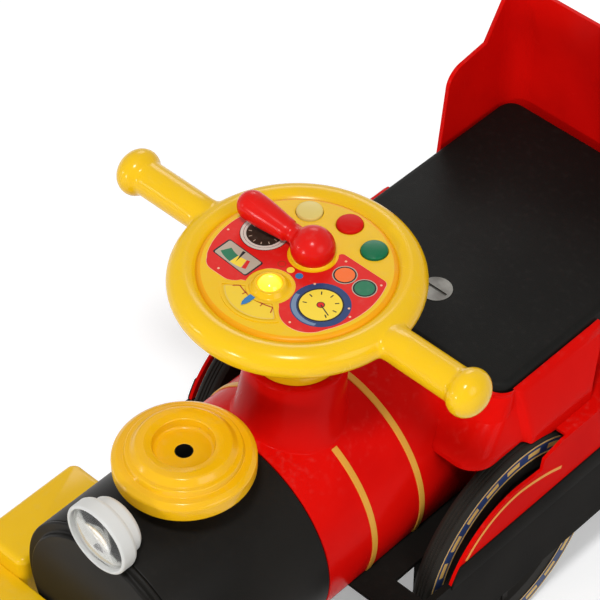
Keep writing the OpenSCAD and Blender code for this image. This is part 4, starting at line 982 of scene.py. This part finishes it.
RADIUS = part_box("smokebox")[1].x / MM
AXIS_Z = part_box("smokebox")[1].z / MM - RADIUS
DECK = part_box("smokebox")[0].z / MM
SMOKE_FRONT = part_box("smokebox")[0].y / MM
SMOKE_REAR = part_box("smokebox")[1].y / MM
BOX_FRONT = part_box("body_front")[1].y / MM
SHELL_T = 2.5
FLANGE_W = 30
BOSS_TOP_R = 40
BOSS_BASE_R = 42.5
BOSS_RIM = 12
BOSS_TOP = COLLAR_LOW - 0.5
BOSS_SLOPE = (BOSS_TOP - AXIS_Z - RADIUS) / (BOSS_BASE_R - BOSS_TOP_R)
BOSS_FILLET = 4
BOSS_LEAN = 0.17
BAND_T = 0.9
BAND_W = 5.8
FRONT_BAND_Y = -100
REAR_BAND_Y = -45
BAND_CUT = 48.4
CHIMNEY_Y = -212
CHIMNEY_TOP = 316
CHIMNEY_R = 54.75
CHIMNEY_FOOT = 275
CHIMNEY_FLOOR = 250
CUP_Z = 306.6
BORE_R = 6.9
BORE_LOW = 262
HEADLAMP_Z = 283
GLASS_BEND = 67.9
GLASS_RISE = 1.8


def tube_skin(stations, closed=False):
    """A half tube standing on the deck, from (radius, y) stations."""
    profile = [(radius, -y) for radius, y in stations]
    bm = placed(turned(profile, 192, closed), (0, 0, AXIS_Z), ALONG_FRONT)
    cut_away(bm, (0, 0, DECK), (0, 0, 1))
    return bm


def boiler_height(x):
    """The height of the boiler's surface at a distance from the middle."""
    return AXIS_Z + math.sqrt(max(RADIUS ** 2 - x ** 2, 0))


def boss_line(angle):
    """One closed section of the steering column's boss, down its side and out along the boiler."""
    cos_a = math.cos(angle)
    bore_r = BOSS_TOP_R - BOSS_RIM
    # Where the side meets the boiler, settled step by step
    meet = BOSS_BASE_R
    for _ in range(20):
        meet = BOSS_TOP_R + (BOSS_TOP - boiler_height(meet * cos_a)) / BOSS_SLOPE
    start_r = meet - 1.6
    start = Vector((start_r, BOSS_TOP - BOSS_SLOPE * (start_r - BOSS_TOP_R)))
    corner = Vector((meet, boiler_height(meet * cos_a)))
    end = Vector((meet + BOSS_FILLET, boiler_height((meet + BOSS_FILLET) * cos_a) - 0.4))
    line = [(bore_r, BOSS_TOP), (BOSS_TOP_R - 1.8, BOSS_TOP), (BOSS_TOP_R - 0.6, BOSS_TOP - 0.4)]
    upper = Vector((BOSS_TOP_R, BOSS_TOP - 1.6))
    line += [tuple(upper.lerp(start, k / 8)) for k in range(9)]
    for k in range(1, 15):
        t = k / 14
        spot = start * (1 - t) ** 2 + corner * 2 * t * (1 - t) + end * t ** 2
        line.append((spot.x, max(spot.y, boiler_height(spot.x * cos_a) + 0.12 * (1 - t) - 0.1)))
    for radius in (end.x - 2, bore_r):
        line.append((radius, boiler_height(radius * cos_a) - 3))
    return line


def boss_shape(steps=120):
    """The boss, which leans forward towards its foot."""
    sections = []
    for k in range(steps):
        angle = 2 * math.pi * k / steps
        sections.append([
            (r * math.cos(angle), STEER_Y + r * math.sin(angle) - BOSS_LEAN * (BOSS_TOP - z), z)
            for r, z in boss_line(angle)
        ])
    return lofted(sections, around=True)


def make_boiler():
    front, rear = SMOKE_REAR + 0.6, BOX_FRONT - 0.3
    shell = tube_skin([
        (RADIUS - 3, front), (RADIUS - 0.6, front), (RADIUS, front + 0.6), (RADIUS, REAR_BAND_Y),
        (RADIUS, rear), (RADIUS - FLANGE_W, rear),
    ])
    boiler = add_piece("boiler_shell", shell, "body", RED, ("body_front",))
    modifier(boiler, "SOLIDIFY", thickness=SHELL_T * MM, offset=-1)
    add_piece("column_boss", boss_shape(), "body", RED, ("body_front",), 60)


def hoop(middle):
    """A hoop round the boiler, with its feet on the deck."""
    low, high = middle - BAND_W / 2, middle + BAND_W / 2
    inner, outer = RADIUS - 0.2, RADIUS + BAND_T
    return tube_skin([
        (inner, low), (outer - 0.3, low), (outer, low + 0.4),
        (outer, high - 0.4), (outer - 0.3, high), (inner, high),
    ], True)


def make_bands():
    hoops = [hoop(REAR_BAND_Y)]
    for side in (1, -1):
        half = hoop(FRONT_BAND_Y)
        cut_away(half, (side * BAND_CUT, 0, 0), (side, 0, 0))
        hoops.append(half)
    whole = joined(*hoops)
    close_holes(whole)
    add_piece("gold_hoops", whole, "body", GOLD, ("boiler_bands",))


def make_smokebox():
    rear = SMOKE_REAR - 0.2
    shell = tube_skin([
        (RADIUS - FLANGE_W, SMOKE_FRONT), (RADIUS - 1.5, SMOKE_FRONT), (RADIUS - 0.4, SMOKE_FRONT + 0.5),
        (RADIUS, SMOKE_FRONT + 1.6), (RADIUS, CHIMNEY_Y), (RADIUS, SMOKE_REAR - 1), (RADIUS - 0.6, rear),
        (RADIUS - 3, rear),
    ])
    piece = add_piece("smokebox_skin", shell, "body", SMOKE_BLACK, ("smokebox",))
    modifier(piece, "SOLIDIFY", thickness=SHELL_T * MM, offset=-1)


def chimney_profile():
    """From the bore's floor over the cup, the rim and its steps, down to the foot."""
    top = CHIMNEY_TOP
    return fillet_path([
        (0, BORE_LOW), (BORE_R, BORE_LOW), (BORE_R, CUP_Z, 0.8), (23, CUP_Z + 0.3, 3), (24, top - 1, 1.2),
        (30, top, 4), (36, top, 3), (39.6, top - 4.4, 1.5), (40.6, top - 5.2, 0.8), (44, top - 5.4, 1.4),
        (45.4, top - 10.4, 0.9), (50.6, top - 10.7, 2.5), (CHIMNEY_R, top - 14, 3.5),
        (CHIMNEY_R - 0.15, top - 26, 4), (50, top - 30, 3), (33, top - 35, 6), (31, top - 44),
        (32, BORE_LOW), (30, CHIMNEY_FLOOR - 10), (0, CHIMNEY_FLOOR - 10),
    ])


def make_chimney():
    shape = placed(turned(chimney_profile(), 128), (0, CHIMNEY_Y, 0))
    for vert in shape.verts:
        if vert.co.z < CHIMNEY_FOOT:
            sink = 6 if vert.co.z < CHIMNEY_FLOOR else 3
            vert.co.z = max(vert.co.z, boiler_height(vert.co.x) - sink)
    add_piece("chimney_stack", shape, "body", DEEP_YELLOW_AND_SHADE, ("chimney",), 40)
    inner, outer, rim = BORE_R - 0.3, BORE_R + 0.3, CUP_Z - 0.3
    floor, under = BORE_LOW + 0.4, BORE_LOW + 0.2
    liner = turned([(0, floor), (inner, floor), (inner, rim), (outer, rim), (outer, under), (0, under)], 64)
    add_piece("chimney_bore", placed(liner, (0, CHIMNEY_Y, 0)), "body", BLACK, (), 40)


def make_headlamp():
    back, neck, face = 278, 290, 304.5
    case = turned(fillet_path([
        (0, back), (21.5, back, 3), (24, back + 3.5, 3), (24, neck - 1, 1.5), (29, neck, 2),
        (30.5, neck + 3, 3), (30.5, face, 1.8), (27.5, face, 1), (27, face - 4.4), (24, face - 5),
        (10, face - 15), (0, face - 17),
    ]), 72)
    dome = arc_path((0, face + GLASS_RISE - GLASS_BEND), GLASS_BEND, 90, 66.6, 14)
    glass = turned([*dome, (26.9, face - 4.3), (0, face - 4.6)], 72)
    for name, shape, material, slot, node, sharp in (
        ("headlamp_case", case, SILVER, "lamp_silver", "headlamp_housing", 40),
        ("headlamp_glass", glass, CLEAR, "clear_lens", "headlamp_lens", 35),
    ):
        placed(shape, (0, 0, HEADLAMP_Z), ALONG_FRONT)
        add_piece(name, shape, "body", material, (node,), sharp)


make_boiler()
make_bands()
make_smokebox()
make_chimney()
make_headlamp()


# Wheels

WHEEL_RIM = 10
TREAD_DEPTH = 0.8
SPOKE_W = 7
DASH_COUNT = 24
PRINT_OUT = 2.6
PRINT_IN = 16.4


def tread_ribs(radius, width):
    """Seven flats across the tread, high and low by turns."""
    ribs = []
    for k in range(7):
        z = width * (0.76 - 0.52 * k / 6)
        rib_r = radius if k % 2 == 0 else radius - TREAD_DEPTH
        ribs += [(rib_r, z + width * 0.03), (rib_r, z - width * 0.03)]
    return ribs


def wheel_shape(radius, width, hub_r, dish):
    """A moulded wheel with its outer face at +Z, a dished web, a raised rim and a ribbed tread."""
    rim, web, back = radius - WHEEL_RIM, width - dish, dish / 2
    outside = fillet_path([
        (0, web + 2), (hub_r, web + 2, 1), (hub_r + 3, web - 1, 1.5), (rim - 24, web, 4),
        (rim - 20, width - 1.2, 1.2), (rim, width - 0.6, 2), (radius - 3, width - 0.4),
    ])
    tread = [(radius - 0.5, width * 0.86), *tread_ribs(radius, width), (radius - 0.5, width * 0.14)]
    inside = fillet_path([
        (radius - 2.5, 0), (rim - 4, 0, 1), (rim - 8, back, 2), (hub_r + 4, back, 2), (hub_r, 0),
    ])
    return turned([*outside, *tread, *inside, (0, 0)], 128)


def wheel_spokes(count, inner, outer, low, high):
    """Raised radial ribs on the web."""
    half = SPOKE_W / 2
    parts = []
    for k in range(count):
        rib = slab([(inner, -half), (outer, -half), (outer, half), (inner, half)], low, high, edge=1)
        parts.append(placed(rib, turn=Matrix.Rotation(2 * math.pi * k / count, 4, "Z")))
    return parts


def make_wheel(node, hub_r, dish, spokes):
    """A wheel's moulding in its solid's box. Returns what the ring print needs."""
    low, high = (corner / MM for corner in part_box(node))
    radius, width = (high.z - low.z) / 2, high.x - low.x
    web = width - dish
    ribs = wheel_spokes(spokes, hub_r + 2, radius - WHEEL_RIM - 21, web - 2, web + 1.6)
    whole = joined(wheel_shape(radius, width, hub_r, dish), *ribs)
    middle = (low + high) / 2
    place, turn = (low.x, middle.y, middle.z), ALONG_X
    if low.x < 0:
        place, turn = (high.x, middle.y, middle.z), ALONG_X @ Matrix.Rotation(math.pi, 4, "Y")
    body = NODES[node]["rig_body"]
    add_piece(node + "_moulding", placed(whole, place, turn), body, WHEEL_BLACK, (node,), 40)
    return place, turn, radius, width, body


def flat_ring(outer, inner, low, high):
    return slab(circle_points(outer, steps=96), low, high, [circle_points(inner, steps=96)])


def make_ring_print(node, place, turn, radius, width, body):
    """A blue ring with gold dashes near the rim."""
    face = width - 0.25
    outer, inner = radius - PRINT_OUT, radius - PRINT_IN
    blue = flat_ring(outer, inner, face - 0.2, face)
    add_piece(node + "_ring", placed(blue, place, turn), body, INK["blue"])
    low, high = face - 0.1, face + 0.15
    dashes = []
    for k in range(DASH_COUNT):
        angle = 360 * k / DASH_COUNT
        dashes.append(slab(arc_bar((0, 0), (outer + inner) / 2, angle, angle + 8.5, 4.6, 8), low, high))
    for edge in (outer - 0.8, inner + 0.8):
        dashes.append(flat_ring(edge + 0.7, edge - 0.7, low, high))
    add_piece(node + "_dashes", placed(joined(*dashes), place, turn), body, INK["gold"])


for wheel in ("wheel_mid_left", "wheel_mid_right"):
    made = make_wheel(wheel, 16, 5, 10)
    make_ring_print(wheel, *made)
for wheel in ("rear_wheel_left", "rear_wheel_right", "front_wheel_left", "front_wheel_right"):
    make_wheel(wheel, 11, 5, 6)


# Fender lines and the underbody's rim

FENDER_CENTRE = (10, 109)
FENDER_R = 85
STRIPE_CENTRE = (-3, 19)
STRIPE_R = 170
STRIPE_W = 3
STRIPE_T = 0.25
RIM_TOP = 158
RIM_T = 1.4
RIM_EDGE = 0.6


def side_turn(side):
    """Takes a plan in (y, z) to the left or right side."""
    return Matrix(((0, 0, side, 0), (1, 0, 0, 0), (0, 1, 0, 0), (0, 0, 0, 1)))


ALONG_REAR = Matrix(((1, 0, 0, 0), (0, 0, 1, 0), (0, 1, 0, 0), (0, 0, 0, 1)))


def make_stripes():
    outer_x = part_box("body_rear")[1].x / MM
    inner_r = STRIPE_R + STRIPE_CENTRE[1] - FENDER_CENTRE[1] - 0.5
    lines = (
        arc_bar(STRIPE_CENTRE, STRIPE_R, 67.2, 85.6, STRIPE_W, 24),
        arc_bar(FENDER_CENTRE, inner_r, 90, 141, STRIPE_W, 32),
    )
    parts = []
    for side in (1, -1):
        for line in lines:
            parts.append(placed(slab(line, 0, STRIPE_T), (side * (outer_x - 0.05), 0, 0), side_turn(side)))
    add_piece("fender_stripes", joined(*parts), "body", STRIPE_GOLD)


def fender_angle(z):
    """Where the fender's front edge reaches a height, in degrees."""
    return 180 - math.degrees(math.asin((z - FENDER_CENTRE[1]) / FENDER_R))


def make_rim():
    """The underbody's upper rim, which stands outside the red body's lower edge."""
    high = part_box("chassis")[1] / MM
    low = DECK - 4
    front = arc_path(FENDER_CENTRE, FENDER_R, fender_angle(DECK), fender_angle(RIM_TOP), 6)
    outline = [(front[0][0], low), *front, (high.y, RIM_TOP), (high.y, low)]
    parts = []
    for side in (1, -1):
        wall = slab(outline, 0, RIM_T, edge=RIM_EDGE)
        parts.append(placed(wall, (side * (high.x - 0.02), 0, 0), side_turn(side)))
    across = high.x + RIM_T - 0.02
    back = [(-across, low), (across, low), (across, RIM_TOP), (-across, RIM_TOP)]
    parts.append(placed(slab(back, 0, RIM_T, edge=RIM_EDGE), (0, high.y - 0.02, 0), ALONG_REAR))
    add_piece("skirt_rim", joined(*parts), "body", BLACK, (), 40)


# Hoods over the big wheels

HOOD_LOW = 215.7
HOOD_FOOT = 220.5
HOOD_TOP = 252.2
HOOD_BULGE = 1.2
HOOD_WALL = 6
FOOT_SIDE = 126.6
FOOT_FRONT = -22.5
FOOT_CORNER = 22
TOP_SIDE = 114.4
TOP_FRONT = 19.6
TOP_CORNER = 15.2
FRONT_X = (48, 76)
SHELF_TOP = 208
WHEEL_CENTRE = (22, 106.5)
ARCH_R = 109
STEP = ((FOOT_SIDE, 31.5), (127.2, 33), (130, 34.8), (132.8, 36.6), (133.6, 38.4))
STEP_TOP = (
    (TOP_SIDE, 35.6, HOOD_TOP), (114.8, 36, 253), (116.6, 36.8, 254), (118.6, 37.6, 255),
    (119.6, 38.6, 255.5),
)
PANEL_Y = (44, 50, 56, 62, 66, 80, 96, 111.4)
PANEL_LEAN = 0.6
LIP_X = 114.6
LIP_Z = 262.6


def hood_section(foot, top):
    """One closed section of the hood between a point of its lower line and a point of its upper line."""
    (x, y), (top_x, top_y, top_z) = foot, top
    past_step = x > STEP[2][0]
    low = HOOD_LOW
    if past_step:
        arch = WHEEL_CENTRE[1] + math.sqrt(ARCH_R ** 2 - (y - WHEEL_CENTRE[0]) ** 2)
        low = max(arch, SHELF_TOP - 0.6)
    run = math.hypot(top_x - x, top_y - y)
    in_x, in_y = (top_x - x) / run, (top_y - y) / run
    points = [(x, y, low), (x, y, HOOD_FOOT)]
    for k in range(1, 7):
        part = k / 6
        reach = part * run - 4 * part * (1 - part) * HOOD_BULGE
        points.append((x + in_x * reach, y + in_y * reach, HOOD_FOOT + part * (top_z - HOOD_FOOT)))
    lip = max(0.2, top_x - LIP_X)
    lip_x, lip_y = (-1, 0) if past_step else (in_x, in_y)
    for back, part in ((0.22 * lip, 0.35), (0.58 * lip, 0.72), (lip, 1), (lip + 3, 1.04)):
        points.append((top_x + back * lip_x, top_y + back * lip_y, top_z + part * (LIP_Z - top_z)))
    points.append((x + HOOD_WALL * in_x, y + HOOD_WALL * in_y, low))
    return points


def rounded_corner(side, front, radius):
    """The plan line of the hood's front and its rounded corner."""
    corner = arc_path((side - radius, front + radius), radius, 270, 360, 12)
    return [*((x, front) for x in FRONT_X), *corner]


def hood_shape():
    feet = [*rounded_corner(FOOT_SIDE, FOOT_FRONT, FOOT_CORNER), (FOOT_SIDE, 16), *STEP]
    corner = [*rounded_corner(TOP_SIDE, TOP_FRONT, TOP_CORNER), (TOP_SIDE, 35.2)]
    panel_x, panel_z = STEP_TOP[-1][0], STEP_TOP[-1][2]
    tops = [*((x, y, HOOD_TOP) for x, y in corner), *STEP_TOP]
    for y in PANEL_Y:
        feet.append((STEP[-1][0], y))
        tops.append((panel_x, y + PANEL_LEAN * max(0, y - PANEL_Y[4]), panel_z))
    feet.append((131.5, 113))
    tops.append((115, 141, panel_z))
    hood = lofted([hood_section(*pair) for pair in zip(feet, tops)])
    close_holes(hood)
    return hood


def make_hoods():
    whole = joined(hood_shape(), mirrored(hood_shape()))
    add_piece("wheel_hoods", whole, "body", RED, (), 50)


# Solids that only need soft edges

SOFT_SOLIDS = [
    ("chassis", BLACK, 1.5), ("chassis_rails", BLACK, 1), ("tow_bar", BLACK, 1.5),
    ("smokebox_door", SMOKE_BLACK, 2.5), ("front_beam", YELLOW, 1.8), ("side_box_left", YELLOW, 1),
    ("side_box_right", YELLOW, 1), ("body_rear", BODY_RED, 1.3), ("seat_back", RED, 1.7),
    ("seat", SEAT_BLACK, 1.2), ("seat_lock", DULL_ZINC, 0.4), ("bogie", BLACK, 1),
    ("charge_socket", BLACK, 0.6), ("battery", BATTERY, 1.5), ("gearbox_case", GREY, 0.6),
    ("gearbox_cover", GREY, 0.6), ("mid_hub_caps", STEEL, 0.6),
]
BY_SLOT = {
    "black_plastic": BLACK, "red_plastic": RED, "gold_band": GOLD, "yellow_plastic": YELLOW,
    "lamp_silver": SILVER, "clear_lens": CLEAR, "seat_plastic": SEAT_BLACK, "steel": STEEL,
    "battery_case": BATTERY, "board_green": BOARD, "label_red": INK["red"], "button_cream": BUTTON_CREAM,
    "button_red": BUTTON_RED, "button_green": BUTTON_GREEN, "lever_red": LEVER_RED,
    "amber_lens": INK["orange"], "lamp_white": INK["white"], "nylon": NYLON, "wheel_black": WHEEL_BLACK,
    "gearbox_grey": GREY, "brass_pinion": BRASS,
}

make_stripes()
make_rim()
make_hoods()
for soft_node, paint, soft_width in SOFT_SOLIDS:
    softened(soft_node, paint, soft_width)
for bare_node, solid in NODES.items():
    solid.data.materials.clear()
    solid.data.materials.append(BY_SLOT[SLOT[bare_node]])

place_camera()
light_studio()
lay_floor()
